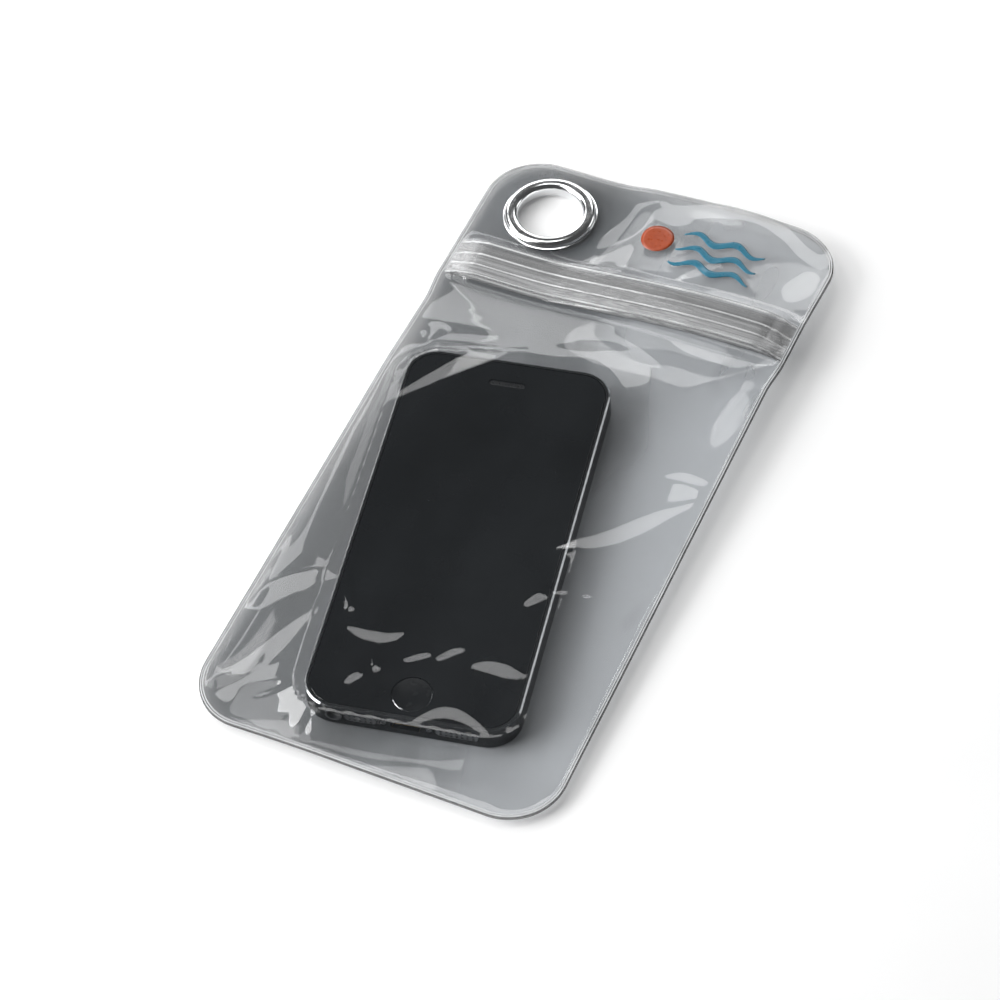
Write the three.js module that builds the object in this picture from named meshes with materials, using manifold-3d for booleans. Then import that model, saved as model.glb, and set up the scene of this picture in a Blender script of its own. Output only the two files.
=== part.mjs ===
// A clear waterproof pouch with a handset shut inside it, lying flat.
// Two sheets of soft film are welded round three sides. A press-seal strip closes the mouth and a
// metal eyelet goes through the header. The handset lies askew in the pouch and tents the film.
// Millimetres. +Z is up, +Y points to the header, and the origin is under the pouch's middle.

import * as THREE from 'three';
import { mergeVertices } from 'three/addons/utils/BufferGeometryUtils.js';
import Module from 'manifold-3d';

const wasm = await Module();
wasm.setup();

// Pouch outline and film
const POUCH_WIDTH = 107;
const POUCH_LENGTH = 215;
const POUCH_CORNER = 16;
const BODY_DRAW = 1;
const DRAW_FADE = 12;
const FILM = 0.35;
const FILM_GAP = 0.15;
const WELD_WIDTH = 1.3;
const WELD_BEAD = 0.25;
const CELL_X = 6.2;
const CELL_Y = 8;

// How the film lies on the floor and over its contents
const EDGE_LIFT = 1.3;
const SIDE_CURL = 5.2;
const HEADER_DROP = 0.75;
const HEADER_ARCH = 3.4;
const ARCH_X = 20;
const ARCH_SPAN = 62;
const WELD_PULL = 2.6;
const PULL_REACH = 14;
const CLING = 1.7;
const SAG = 1.25;
const TENT_SLACK = 0.7;
const TENT_SHOULDER = 3;
const LIP_OPENING = 0.9;

// Press-seal strips
const ZIP_FROM_TOP = 43.3;
const ZIP_HEIGHT = 13.5;
const ZIP_THICKNESS = 2.4;
const ZIP_TAPE = 0.45;
const ZIP_CLEAR = 0.3;
const ZIP_END_CLEAR = 0.3;
const ZIP_CRUSH_LENGTH = 7;
const ZIP_CRUSH = 0.55;
const ZIP_FADE = 3.5;
const LEVEL_FADE = 14;
const TRACK_Y = -0.3;
const RAIL_Y = -5.3;
const RIB_HEAD = 1.1;
const RIB_STEM = 0.44;
const RIB_RISE = 1.25;
const RIB_HEAD_RISE = 0.42;
const GROOVE_CLEAR = 0.2;
const GROOVE_WALL = 0.62;
const GROOVE_HOOK = 0.3;
const RAIL_WIDTH = 1.7;
const RAIL_RISE = 0.6;

// Eyelet
const EYELET_FROM_SIDE = 21.3;
const EYELET_FROM_TOP = 18.8;
const EYELET_BORE_RADIUS = 9.35;
const BARREL_WALL = 0.55;
const FLANGE_RADIUS = 13.75;
const FLANGE_HEIGHT = 2;
const FLANGE_LIP = 0.35;
const FLANGE_FLAT = 0.8;
const WASHER_THICKNESS = 0.5;
const WASHER_RADIUS = 13;
const ROLL_RADIUS = 11.7;
const ROLL_HEIGHT = 0.8;
const EYELET_CLEAR = 0.1;
const EYELET_HOLE_CLEAR = 0.35;
const EYELET_SIDES = 32;
const EYELET_FLAT_MARGIN = 5;
const EYELET_FADE = 13;

// Handset
const HANDSET_FROM_SIDE = 48.5;
const HANDSET_FROM_BOTTOM = 76.5;
const HANDSET_TURN = THREE.MathUtils.degToRad(11);
const HANDSET_WIDTH = 58.6;
const HANDSET_LENGTH = 123.8;
const HANDSET_THICKNESS = 7.6;
const HANDSET_CORNER = 9;
const CHAMFER = 0.45;
const SEAT_CLEAR = 0.3;
const PART_CLEAR = 0.25;
const COVER_MARGIN = 1.1;
const GLASS_THICKNESS = 1;
const BACK_COVER_THICKNESS = 0.8;
const COVER_CHAMFER = 0.15;
const CORNER_FACETS = 5;
const OVERCUT = 1;

const HOME_FROM_BOTTOM = 7.9;
const HOME_RADIUS = 5.4;
const HOME_THICKNESS = 1.5;
const HOME_DISH = 0.35;
const BUTTON_TRAVEL = 0.3;
const EARPIECE_FROM_TOP = 8.5;
const EARPIECE_LENGTH = 10;
const EARPIECE_HEIGHT = 1.6;
const EARPIECE_SINK = 0.35;
const EARPIECE_THICKNESS = 0.45;
const EARPIECE_HOLE = 0.5;
const EARPIECE_PITCH = 0.9;

const VOLUME_RADIUS = 2.5;
const VOLUME_FROM_TOP = 26.9;
const VOLUME_PITCH = 10;
const POWER_FROM_SIDE = 12.3;
const POWER_LENGTH = 9.6;
const POWER_HEIGHT = 2.6;
const BUTTON_PROUD = 0.45;
const BUTTON_DEPTH = 1.1;
const BUTTON_CHAMFER = 0.2;
const HOME_FACETS = 24;

const AUDIO_FROM_SIDE = 9.6;
const AUDIO_BORE = 3.5;
const AUDIO_WALL = 0.5;
const AUDIO_DEPTH = 8;
const AUDIO_TO_GRILLE = 0.8;
const CHARGE_WIDTH = 8.4;
const CHARGE_HEIGHT = 2.4;
const CHARGE_DEPTH = 6;
const TONGUE_WIDTH = 6.2;
const TONGUE_HEIGHT = 0.7;
const TONGUE_SINK = 0.8;
const SCREW_X = 6.2;
const SCREW_RADIUS = 0.8;
const SCREW_DEPTH = 1.2;
const SCREW_SINK = 0.15;
const GRILLE_START = 8;
const GRILLE_HEIGHT = 2.8;
const GRILLE_DEPTH = 1;
const GRILLE_PITCH = 1.45;
const GRILLE_HOLE = 0.85;
const GRILLE_ROWS = 2;

const LENS_FROM_SIDE = 8.3;
const LENS_FROM_TOP = 7.9;
const LENS_RADIUS = 3.2;
const FLASH_PITCH = 9.5;
const FLASH_RADIUS = 1.5;
const LENS_THICKNESS = 0.5;
const LENS_SINK = 0.1;
const LENS_FACETS = 18;

// Places and levels that follow from the sizes above
const ZIP_Y = POUCH_LENGTH / 2 - ZIP_FROM_TOP;
const EYELET_X = EYELET_FROM_SIDE - POUCH_WIDTH / 2;
const EYELET_Y = POUCH_LENGTH / 2 - EYELET_FROM_TOP;
const HANDSET_X = HANDSET_FROM_SIDE - POUCH_WIDTH / 2;
const HANDSET_Y = HANDSET_FROM_BOTTOM - POUCH_LENGTH / 2;
const HOME_Y = HOME_FROM_BOTTOM - HANDSET_LENGTH / 2;
const EARPIECE_Y = HANDSET_LENGTH / 2 - EARPIECE_FROM_TOP;
const VOLUME_UP_Y = HANDSET_LENGTH / 2 - VOLUME_FROM_TOP;
const VOLUME_DOWN_Y = VOLUME_UP_Y - VOLUME_PITCH;
const POWER_X = HANDSET_WIDTH / 2 - POWER_FROM_SIDE;
const AUDIO_X = AUDIO_FROM_SIDE - HANDSET_WIDTH / 2;
const LEFT_GRILLE_SPACE = -AUDIO_X - AUDIO_BORE / 2 - AUDIO_WALL - AUDIO_TO_GRILLE - GRILLE_START;
const RIGHT_GRILLE_SPACE = HANDSET_WIDTH / 2 - HANDSET_CORNER - GRILLE_START;
const LEFT_GRILLE_COLUMNS = 1 + Math.floor((LEFT_GRILLE_SPACE - GRILLE_HEIGHT) / GRILLE_PITCH);
const RIGHT_GRILLE_COLUMNS = 1 + Math.floor((RIGHT_GRILLE_SPACE - GRILLE_HEIGHT) / GRILLE_PITCH);
const LENS_X = LENS_FROM_SIDE - HANDSET_WIDTH / 2;
const LENS_Y = HANDSET_LENGTH / 2 - LENS_FROM_TOP;
const FLASH_X = LENS_X + FLASH_PITCH;
const ZIP_LOW = ZIP_Y - ZIP_HEIGHT / 2;
const ZIP_HIGH = ZIP_Y + ZIP_HEIGHT / 2;
const ZIP_SPACE = ZIP_THICKNESS + 2 * ZIP_CLEAR;
const ZIP_END = POUCH_WIDTH / 2 - 3 * WELD_WIDTH - ZIP_END_CLEAR;
const HANDSET_Z = FILM + SEAT_CLEAR;
const TENT_HEIGHT = SEAT_CLEAR + HANDSET_THICKNESS + SEAT_CLEAR + TENT_SLACK;
const EYELET_STACK = ROLL_HEIGHT + EYELET_CLEAR + WASHER_THICKNESS + EYELET_CLEAR;
const EYELET_FILM = 2 * FILM + FILM_GAP;

const FILM_LOOK = { color: 0xb9bfc4, roughness: 0.12, metalness: 0, transparent: true, opacity: 0.4 };
const ZIP_LOOK = { color: 0xdfe3e4, roughness: 0.35, metalness: 0, transparent: true, opacity: 0.75 };
const CHROME_LOOK = { color: 0xd6d8da, roughness: 0.08, metalness: 1 };
const DARK_METAL_LOOK = { color: 0x2b2d31, roughness: 0.35, metalness: 0.9 };
const BLACK_GLASS_LOOK = { color: 0x08090b, roughness: 0.06, metalness: 0 };
const MESH_LOOK = { color: 0x3c3e42, roughness: 0.4, metalness: 0.8 };
const CONTACT_LOOK = { color: 0xb58f45, roughness: 0.3, metalness: 1 };

// A value that eases from 0 at `from` to 1 at `to`
function ease(from, to, value) {
  return THREE.MathUtils.smoothstep(value, from, to);
}

// Signed distance to a rounded rectangle about the origin, negative inside it
function roundedDistance(x, y, width, length, radius) {
  const overX = Math.abs(x) - width / 2 + radius;
  const overY = Math.abs(y) - length / 2 + radius;
  const outside = Math.hypot(Math.max(overX, 0), Math.max(overY, 0));
  return outside + Math.min(Math.max(overX, overY), 0) - radius;
}

// How far each side of the body is drawn in by the film that rises over the handset
function drawnIn(y) {
  return BODY_DRAW * (1 - ease(ZIP_LOW - DRAW_FADE, ZIP_LOW, y));
}

// Distance from the pouch's edge, inside it
function edgeDistance(x, y) {
  const flatX = x * POUCH_WIDTH / (POUCH_WIDTH - 2 * drawnIn(y));
  return Math.max(0, -roundedDistance(flatX, y, POUCH_WIDTH, POUCH_LENGTH, POUCH_CORNER));
}

// How far a point lies outside the handset's footprint and the shoulder of film round it
function handsetDistance(x, y) {
  const dx = x - HANDSET_X;
  const dy = y - HANDSET_Y;
  const across = dx * Math.cos(HANDSET_TURN) + dy * Math.sin(HANDSET_TURN);
  const along = dy * Math.cos(HANDSET_TURN) - dx * Math.sin(HANDSET_TURN);
  const away = roundedDistance(across, along, HANDSET_WIDTH, HANDSET_LENGTH, HANDSET_CORNER);
  return Math.max(0, away - TENT_SHOULDER);
}

// 1 along the whole zip, fading to 0 on both sides of it
function zipBand(y) {
  const past = Math.max(ZIP_LOW - y, y - ZIP_HIGH, 0);
  return Math.max(0, 1 - past / ZIP_FADE);
}

// The zip strips hold the film level across their height, so there the film's height is that of
// the zip's middle line
function leveled(y) {
  const offset = THREE.MathUtils.clamp(y - ZIP_Y, -ZIP_HEIGHT / 2, ZIP_HEIGHT / 2);
  const past = Math.max(ZIP_LOW - y, y - ZIP_HIGH, 0);
  const fade = y < ZIP_Y ? LEVEL_FADE : ZIP_FADE;
  return y - offset * Math.max(0, 1 - past / fade);
}

// 0 over the handset, 1 where the sheets are held together at the welds or the zip
function spanShare(x, y) {
  const away = handsetDistance(x, y);
  const held = Math.max(0, Math.min(edgeDistance(x, y) - WELD_WIDTH, ZIP_Y - y));
  return away === 0 ? 0 : away / (away + held);
}

// 1 inside the flat patch that the eyelet clamps, fading to 0 round it
function eyeletPatch(x, y) {
  const away = Math.hypot(x - EYELET_X, y - EYELET_Y);
  const flat = FLANGE_RADIUS + EYELET_FLAT_MARGIN;
  return 1 - ease(flat, flat + EYELET_FADE, away);
}

// How high the free film curls off the floor
function curl(x, y) {
  const drop = 1 - HEADER_DROP * ease(ZIP_Y, POUCH_LENGTH / 2, y);
  const side = ease(-POUCH_WIDTH / 4, POUCH_WIDTH / 2, x) * ease(-POUCH_LENGTH / 2, ZIP_LOW, y) * drop;
  const across = THREE.MathUtils.clamp((x - ARCH_X) / ARCH_SPAN, -1, 1);
  const arch = Math.cos(across * Math.PI / 2) ** 2 * ease(0, POUCH_LENGTH / 2, y);
  const pull = WELD_PULL * Math.exp(-handsetDistance(x, y) / PULL_REACH);
  return EDGE_LIFT + SIDE_CURL * side + HEADER_ARCH * arch + pull;
}

// Thickness of the closed zip at x, flattened towards its ends at the side welds
function zipScale(x) {
  return THREE.MathUtils.lerp(ZIP_CRUSH, 1, ease(0, ZIP_CRUSH_LENGTH, ZIP_END - Math.abs(x)));
}

// Space for the zip at x, closed at the side welds
function zipSpace(x) {
  const inward = POUCH_WIDTH / 2 - WELD_WIDTH - Math.abs(x);
  return ZIP_SPACE * zipScale(x) * THREE.MathUtils.clamp(inward / (2 * WELD_WIDTH), 0, 1);
}

// Top face of the back sheet
function backTop(x, y) {
  const free = FILM + curl(x, leveled(y)) * spanShare(x, leveled(y)) ** CLING;
  const seated = EYELET_STACK + FILM;
  return THREE.MathUtils.lerp(free, seated, eyeletPatch(x, leveled(y)));
}

// Space between the two sheets
function filmSpace(x, y) {
  const tent = TENT_HEIGHT * (1 - spanShare(x, leveled(y))) ** SAG;
  const zip = zipSpace(x) * zipBand(y);
  const middle = 1 - Math.min(1, Math.abs(x - ARCH_X) / ARCH_SPAN) ** 2;
  const lips = LIP_OPENING * middle * ease(ZIP_HIGH, POUCH_LENGTH / 2, y);
  return FILM_GAP + Math.max(tent, zip, lips * (1 - eyeletPatch(x, y)));
}

// The pressed bead along the side and bottom welds, which fades out round the mouth's corners
function weldBead(x, y) {
  const near = 1 - ease(WELD_WIDTH * 0.5, WELD_WIDTH, edgeDistance(x, y));
  return WELD_BEAD * near * (1 - ease(POUCH_LENGTH / 2 - POUCH_CORNER, POUCH_LENGTH / 2, y));
}

// Splits each stretch between neighbouring breaks into equal steps no longer than `step`
function spread(breaks, step) {
  const values = [breaks[0]];
  for (let k = 1; k < breaks.length; k += 1) {
    const from = breaks[k - 1];
    const count = Math.max(1, Math.ceil((breaks[k] - from) / step - 1e-6));
    for (let n = 1; n <= count; n += 1) {
      values.push(from + (breaks[k] - from) * n / count);
    }
  }
  return values;
}

// Half the pouch's width at y, which follows the drawn-in body and the round corners
function halfWidth(y) {
  const past = Math.max(0, Math.abs(y) - POUCH_LENGTH / 2 + POUCH_CORNER);
  const corner = Math.sqrt(Math.max(0, POUCH_CORNER ** 2 - past ** 2)) - POUCH_CORNER;
  return POUCH_WIDTH / 2 - drawnIn(y) + corner;
}

function sheetColumns() {
  const edge = POUCH_WIDTH / 2;
  return spread([-edge, WELD_WIDTH - edge, 3 * WELD_WIDTH - edge,
    edge - 3 * WELD_WIDTH, edge - WELD_WIDTH, edge], CELL_X);
}

function sheetRows() {
  const edge = POUCH_LENGTH / 2;
  const corner = edge - POUCH_CORNER;
  return [
    ...spread([-edge, WELD_WIDTH - edge, 3 * WELD_WIDTH - edge, -corner], POUCH_CORNER / 4),
    ...spread([-corner, ZIP_LOW - ZIP_FADE, ZIP_LOW], CELL_Y).slice(1),
    ...spread([ZIP_HIGH, ZIP_HIGH + ZIP_FADE, corner], CELL_Y),
    ...spread([corner, edge - 3 * WELD_WIDTH, edge - WELD_WIDTH, edge], POUCH_CORNER / 4).slice(1),
  ];
}

// A closed shell over the pouch's outline, between two height functions
function shellBetween(lower, upper) {
  const columns = sheetColumns();
  const rows = sheetRows();
  const across = columns.length;
  const points = [];
  const triangles = [];
  for (const height of [lower, upper]) {
    for (const y of rows) {
      for (const column of columns) {
        const x = column * halfWidth(y) / (POUCH_WIDTH / 2);
        points.push(x, y, height(x, y));
      }
    }
  }
  const layer = across * rows.length;
  for (let j = 0; j < rows.length - 1; j += 1) {
    for (let i = 0; i < across - 1; i += 1) {
      const a = j * across + i;
      const b = a + 1;
      const c = b + across;
      const d = a + across;
      triangles.push(a, c, b, a, d, c);
      triangles.push(layer + a, layer + b, layer + c, layer + a, layer + c, layer + d);
    }
  }
  const edge = [];
  for (let i = 0; i < across - 1; i += 1) edge.push(i);
  for (let j = 0; j < rows.length - 1; j += 1) edge.push(j * across + across - 1);
  for (let i = across - 1; i > 0; i -= 1) edge.push(layer - across + i);
  for (let j = rows.length - 1; j > 0; j -= 1) edge.push(j * across);
  edge.forEach((a, k) => {
    const b = edge[(k + 1) % edge.length];
    triangles.push(a, b, layer + b, a, layer + b, layer + a);
  });
  const geometry = new THREE.BufferGeometry();
  geometry.setAttribute('position', new THREE.Float32BufferAttribute(points, 3));
  geometry.setIndex(triangles);
  return geometry;
}

// three.js geometry to a manifold solid and back
function solid(geometry) {
  const bare = new THREE.BufferGeometry();
  bare.setAttribute('position', geometry.getAttribute('position'));
  bare.setIndex(geometry.getIndex());
  const merged = mergeVertices(bare, 1e-4);
  return new wasm.Manifold(new wasm.Mesh({
    numProp: 3,
    vertProperties: new Float32Array(merged.getAttribute('position').array),
    triVerts: new Uint32Array(merged.getIndex().array),
  }));
}

function cut(base, ...tools) {
  let body = solid(base);
  for (const tool of tools) {
    body = body.subtract(solid(tool));
  }
  const mesh = body.getMesh();
  const geometry = new THREE.BufferGeometry();
  geometry.setAttribute('position', new THREE.Float32BufferAttribute(mesh.vertProperties, 3));
  geometry.setIndex(Array.from(mesh.triVerts));
  return geometry;
}

function part(name, geometry, look) {
  geometry.computeVertexNormals();
  const mesh = new THREE.Mesh(geometry, new THREE.MeshStandardMaterial(look));
  mesh.name = name;
  return mesh;
}

// Sheets

function eyeletHole() {
  const radius = EYELET_BORE_RADIUS + BARREL_WALL + EYELET_HOLE_CLEAR;
  const height = 4 * (EYELET_STACK + EYELET_FILM);
  const hole = new THREE.CylinderGeometry(radius, radius, height, EYELET_SIDES);
  return hole.rotateX(Math.PI / 2).translate(EYELET_X, EYELET_Y, EYELET_STACK);
}

function backSheet() {
  const lower = (x, y) => backTop(x, y) - FILM - weldBead(x, y);
  return part('back_sheet', cut(shellBetween(lower, backTop), eyeletHole()), FILM_LOOK);
}

function frontSheet() {
  const lower = (x, y) => backTop(x, y) + filmSpace(x, y);
  const upper = (x, y) => lower(x, y) + FILM + weldBead(x, y);
  return part('front_sheet', cut(shellBetween(lower, upper), eyeletHole()), FILM_LOOK);
}

// Press-seal strips

// Middle of the space between the sheets along the zip
function zipMiddle(x) {
  return backTop(x, ZIP_Y) + filmSpace(x, ZIP_Y) / 2;
}

// Draws a section of corner points given as [y, z] pairs about the zip's middle
function section(corners) {
  return new THREE.Shape(corners.map(([y, z]) => new THREE.Vector2(y, z)));
}

// Where the strips bend: their two ends, and the film's own columns between them
function zipStations() {
  return [-ZIP_END, ...sheetColumns().filter((x) => Math.abs(x) < ZIP_END - ZIP_CLEAR), ZIP_END];
}

// Runs a section along the zip and lays it on the film
function zipStrip(corners) {
  const stations = zipStations();
  const steps = stations.length - 1;
  const strip = new THREE.ExtrudeGeometry(section(corners), { depth: steps, steps, bevelEnabled: false });
  const points = strip.getAttribute('position');
  for (let k = 0; k < points.count; k += 1) {
    const x = stations[Math.round(points.getZ(k))];
    points.setXYZ(k, x, ZIP_Y + points.getX(k), zipMiddle(x) + points.getY(k) * zipScale(x));
  }
  return solidGeometry(strip);
}

// The same geometry with shared vertices and nothing but positions
function solidGeometry(geometry) {
  return cut(geometry);
}

const TAPE_FACE = ZIP_THICKNESS / 2 - ZIP_TAPE;

// One jaw of the groove, from the tape down to its hooked tip; `side` is -1 or 1
function grooveJaw(side) {
  const inner = RIB_HEAD / 2 + GROOVE_CLEAR;
  const outer = inner + GROOVE_WALL;
  const hookTop = RIB_RISE - RIB_HEAD_RISE - GROOVE_CLEAR - TAPE_FACE;
  const tip = hookTop - GROOVE_HOOK;
  return [[inner, TAPE_FACE], [inner, hookTop], [inner - GROOVE_HOOK, hookTop],
    [inner - GROOVE_HOOK, tip + GROOVE_HOOK / 2], [inner, tip], [outer, tip], [outer, TAPE_FACE]]
    .map(([y, z]) => [TRACK_Y + side * y, z]);
}

function rail(side) {
  const half = RAIL_WIDTH / 2;
  const foot = side * TAPE_FACE;
  const crest = side * (TAPE_FACE - RAIL_RISE);
  return [[RAIL_Y - half, foot], [RAIL_Y - half / 2, crest], [RAIL_Y + half / 2, crest],
    [RAIL_Y + half, foot]];
}

function zipGrooveStrip() {
  const half = ZIP_HEIGHT / 2;
  const face = ZIP_THICKNESS / 2;
  return part('zip_groove_strip', zipStrip([
    [-half, TAPE_FACE], ...rail(1), ...grooveJaw(-1).reverse(), ...grooveJaw(1),
    [half, TAPE_FACE], [half, face], [-half, face],
  ]), ZIP_LOOK);
}

function zipRibStrip() {
  const half = ZIP_HEIGHT / 2;
  const face = ZIP_THICKNESS / 2;
  const foot = -TAPE_FACE;
  const neck = foot + RIB_RISE - RIB_HEAD_RISE;
  const rib = [[-RIB_STEM / 2, foot], [-RIB_STEM / 2, neck], [-RIB_HEAD / 2, neck],
    [-RIB_STEM / 2, foot + RIB_RISE], [RIB_STEM / 2, foot + RIB_RISE], [RIB_HEAD / 2, neck],
    [RIB_STEM / 2, neck], [RIB_STEM / 2, foot]].map(([y, z]) => [TRACK_Y + y, z]);
  return part('zip_rib_strip', zipStrip([
    [-half, -face], [half, -face], [half, foot], ...rib.reverse(), ...rail(-1).reverse(),
    [-half, foot],
  ]), ZIP_LOOK);
}

// Eyelet

// A ring turned about the eyelet's axis from a closed outline of [radius, height] pairs
function turned(outline) {
  const points = [...outline, outline[0]].map(([radius, z]) => new THREE.Vector2(radius, z)).reverse();
  const ring = new THREE.LatheGeometry(points, EYELET_SIDES);
  return solidGeometry(ring.rotateX(Math.PI / 2));
}

function eyeletBarrel() {
  const inner = EYELET_BORE_RADIUS;
  const outer = inner + BARREL_WALL;
  const film = EYELET_STACK + EYELET_FILM + EYELET_CLEAR;
  const crest = film + FLANGE_HEIGHT;
  const middle = (inner + FLANGE_RADIUS - FLANGE_LIP) / 2;
  const rise = FLANGE_HEIGHT - FLANGE_LIP;
  const reach = middle - inner - FLANGE_FLAT / 2;
  const bulge = [];
  for (const angle of [0, 30, 60, 90]) {
    const turn = THREE.MathUtils.degToRad(angle);
    bulge.push([reach * (1 - Math.cos(turn)), rise * Math.sin(turn)]);
  }
  const insideCurve = bulge.map(([r, z]) => [inner + r, film + FLANGE_LIP + z]);
  const outsideCurve = bulge.map(([r, z]) => [FLANGE_RADIUS - FLANGE_LIP - r, film + FLANGE_LIP + z]);
  return part('eyelet_barrel', turned([
    [inner, ROLL_HEIGHT], ...insideCurve, ...outsideCurve.reverse(),
    [FLANGE_RADIUS, film + FLANGE_LIP], [FLANGE_RADIUS, film], [outer, film],
    [outer, ROLL_HEIGHT], [ROLL_RADIUS - ROLL_HEIGHT / 2, ROLL_HEIGHT],
    [ROLL_RADIUS, ROLL_HEIGHT / 2], [ROLL_RADIUS - ROLL_HEIGHT / 2, 0],
    [inner + ROLL_HEIGHT, 0], [inner + ROLL_HEIGHT / 4, ROLL_HEIGHT / 4],
  ]), CHROME_LOOK);
}

function eyeletWasher() {
  const inner = EYELET_BORE_RADIUS + BARREL_WALL + EYELET_HOLE_CLEAR;
  const low = ROLL_HEIGHT + EYELET_CLEAR;
  const high = low + WASHER_THICKNESS;
  return part('eyelet_washer', turned([
    [inner, low], [inner, high], [WASHER_RADIUS, high],
    [WASHER_RADIUS, low + WASHER_THICKNESS / 2], [WASHER_RADIUS - WASHER_THICKNESS / 2, low],
  ]), CHROME_LOOK);
}

function eyelet() {
  const group = new THREE.Group();
  group.add(eyeletBarrel(), eyeletWasher());
  group.position.set(EYELET_X, EYELET_Y, 0);
  return group;
}

// Handset, about the middle of its own footprint with its back at height 0

function roundedShape(width, length, radius) {
  const x = width / 2;
  const y = length / 2;
  const shape = new THREE.Shape();
  shape.moveTo(x - radius, -y);
  shape.absarc(x - radius, radius - y, radius, -Math.PI / 2, 0);
  shape.absarc(x - radius, y - radius, radius, 0, Math.PI / 2);
  shape.absarc(radius - x, y - radius, radius, Math.PI / 2, Math.PI);
  shape.absarc(radius - x, radius - y, radius, Math.PI, Math.PI * 1.5);
  return shape;
}

// A flat plate of a shape, from height 0 up, with both rims chamfered
function plate(shape, thickness, chamfer, curveSegments) {
  const geometry = new THREE.ExtrudeGeometry(shape, {
    depth: thickness - 2 * chamfer,
    bevelEnabled: chamfer > 0,
    bevelThickness: chamfer,
    bevelSize: chamfer,
    bevelOffset: -chamfer,
    bevelSegments: 1,
    curveSegments,
  });
  return geometry.translate(0, 0, chamfer);
}

function disc(radius, height, sides) {
  return new THREE.CylinderGeometry(radius, radius, height, sides).rotateX(Math.PI / 2);
}

// Turns a plate that faces +Z so that it faces out of the bottom, top or left edge
function facingBottom(geometry) {
  return geometry.rotateX(Math.PI / 2).translate(0, -HANDSET_LENGTH / 2, HANDSET_THICKNESS / 2);
}

function facingTop(geometry) {
  return geometry.rotateX(-Math.PI / 2).translate(0, HANDSET_LENGTH / 2, HANDSET_THICKNESS / 2);
}

function facingLeft(geometry) {
  return geometry.rotateY(-Math.PI / 2).translate(-HANDSET_WIDTH / 2, 0, HANDSET_THICKNESS / 2);
}

function pocketDepth() {
  return BUTTON_DEPTH + BUTTON_TRAVEL + PART_CLEAR;
}

function chassis() {
  const coverShape = roundedShape(HANDSET_WIDTH - 2 * COVER_MARGIN, HANDSET_LENGTH - 2 * COVER_MARGIN,
    HANDSET_CORNER - COVER_MARGIN);
  const body = plate(roundedShape(HANDSET_WIDTH, HANDSET_LENGTH, HANDSET_CORNER),
    HANDSET_THICKNESS, CHAMFER, CORNER_FACETS);
  const frontDepth = GLASS_THICKNESS + PART_CLEAR;
  const backDepth = BACK_COVER_THICKNESS + PART_CLEAR;
  const frontRecess = plate(coverShape, frontDepth + OVERCUT, 0, CORNER_FACETS)
    .translate(0, 0, HANDSET_THICKNESS - frontDepth);
  const backRecess = plate(coverShape, backDepth + OVERCUT, 0, CORNER_FACETS)
    .translate(0, 0, -OVERCUT);
  const homeWell = disc(HOME_RADIUS + PART_CLEAR, 2 * homeWellDepth(), HOME_FACETS)
    .translate(0, HOME_Y, HANDSET_THICKNESS);
  const volumeWells = [VOLUME_UP_Y, VOLUME_DOWN_Y].map((y) =>
    facingLeft(disc(VOLUME_RADIUS + PART_CLEAR, 2 * pocketDepth(), 16)).translate(0, y, 0));
  const powerWell = facingTop(plate(slotShape(POWER_LENGTH, POWER_HEIGHT, PART_CLEAR),
    2 * pocketDepth(), 0, 5).translate(POWER_X, 0, -pocketDepth()));
  const audioWell = facingBottom(disc(AUDIO_BORE / 2 + AUDIO_WALL + PART_CLEAR,
    2 * (AUDIO_DEPTH + PART_CLEAR), 20)).translate(AUDIO_X, 0, 0);
  const chargeWell = facingBottom(plate(slotShape(CHARGE_WIDTH, CHARGE_HEIGHT, 0),
    2 * CHARGE_DEPTH, 0, 5).translate(0, 0, -CHARGE_DEPTH));
  const screwWells = [-SCREW_X, SCREW_X].map((x) =>
    facingBottom(disc(SCREW_RADIUS + PART_CLEAR, 2 * (SCREW_DEPTH + SCREW_SINK + PART_CLEAR), 12))
      .translate(x, 0, 0));
  const grilleWells = [-LEFT_GRILLE_COLUMNS, RIGHT_GRILLE_COLUMNS].map((columns) =>
    facingBottom(plate(slotShape(grilleLength(columns), GRILLE_HEIGHT, PART_CLEAR),
      2 * (GRILLE_DEPTH + PART_CLEAR), 0, 4)
      .translate(grilleMiddle(columns), 0, -GRILLE_DEPTH - PART_CLEAR)));
  return part('handset_chassis', cut(body, frontRecess, backRecess, homeWell, ...volumeWells,
    powerWell, audioWell, chargeWell, ...screwWells, ...grilleWells), DARK_METAL_LOOK);
}

// A slot with round ends, grown on every side by `grow`
function slotShape(length, height, grow) {
  return roundedShape(length + 2 * grow, height + 2 * grow, height / 2 + grow);
}

function homeWellDepth() {
  return HOME_THICKNESS + BUTTON_TRAVEL + PART_CLEAR;
}

function frontGlass() {
  const margin = COVER_MARGIN + PART_CLEAR;
  const shape = roundedShape(HANDSET_WIDTH - 2 * margin, HANDSET_LENGTH - 2 * margin,
    HANDSET_CORNER - margin);
  const glass = plate(shape, GLASS_THICKNESS, COVER_CHAMFER, CORNER_FACETS)
    .translate(0, 0, HANDSET_THICKNESS - GLASS_THICKNESS);
  const homeHole = disc(HOME_RADIUS + PART_CLEAR, 4 * GLASS_THICKNESS, HOME_FACETS)
    .translate(0, HOME_Y, HANDSET_THICKNESS);
  const earpieceHole = plate(slotShape(EARPIECE_LENGTH, EARPIECE_HEIGHT, PART_CLEAR),
    4 * GLASS_THICKNESS, 0, 5).translate(0, EARPIECE_Y, HANDSET_THICKNESS - 2 * GLASS_THICKNESS);
  return part('handset_front_glass', cut(glass, homeHole, earpieceHole), BLACK_GLASS_LOOK);
}

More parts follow.
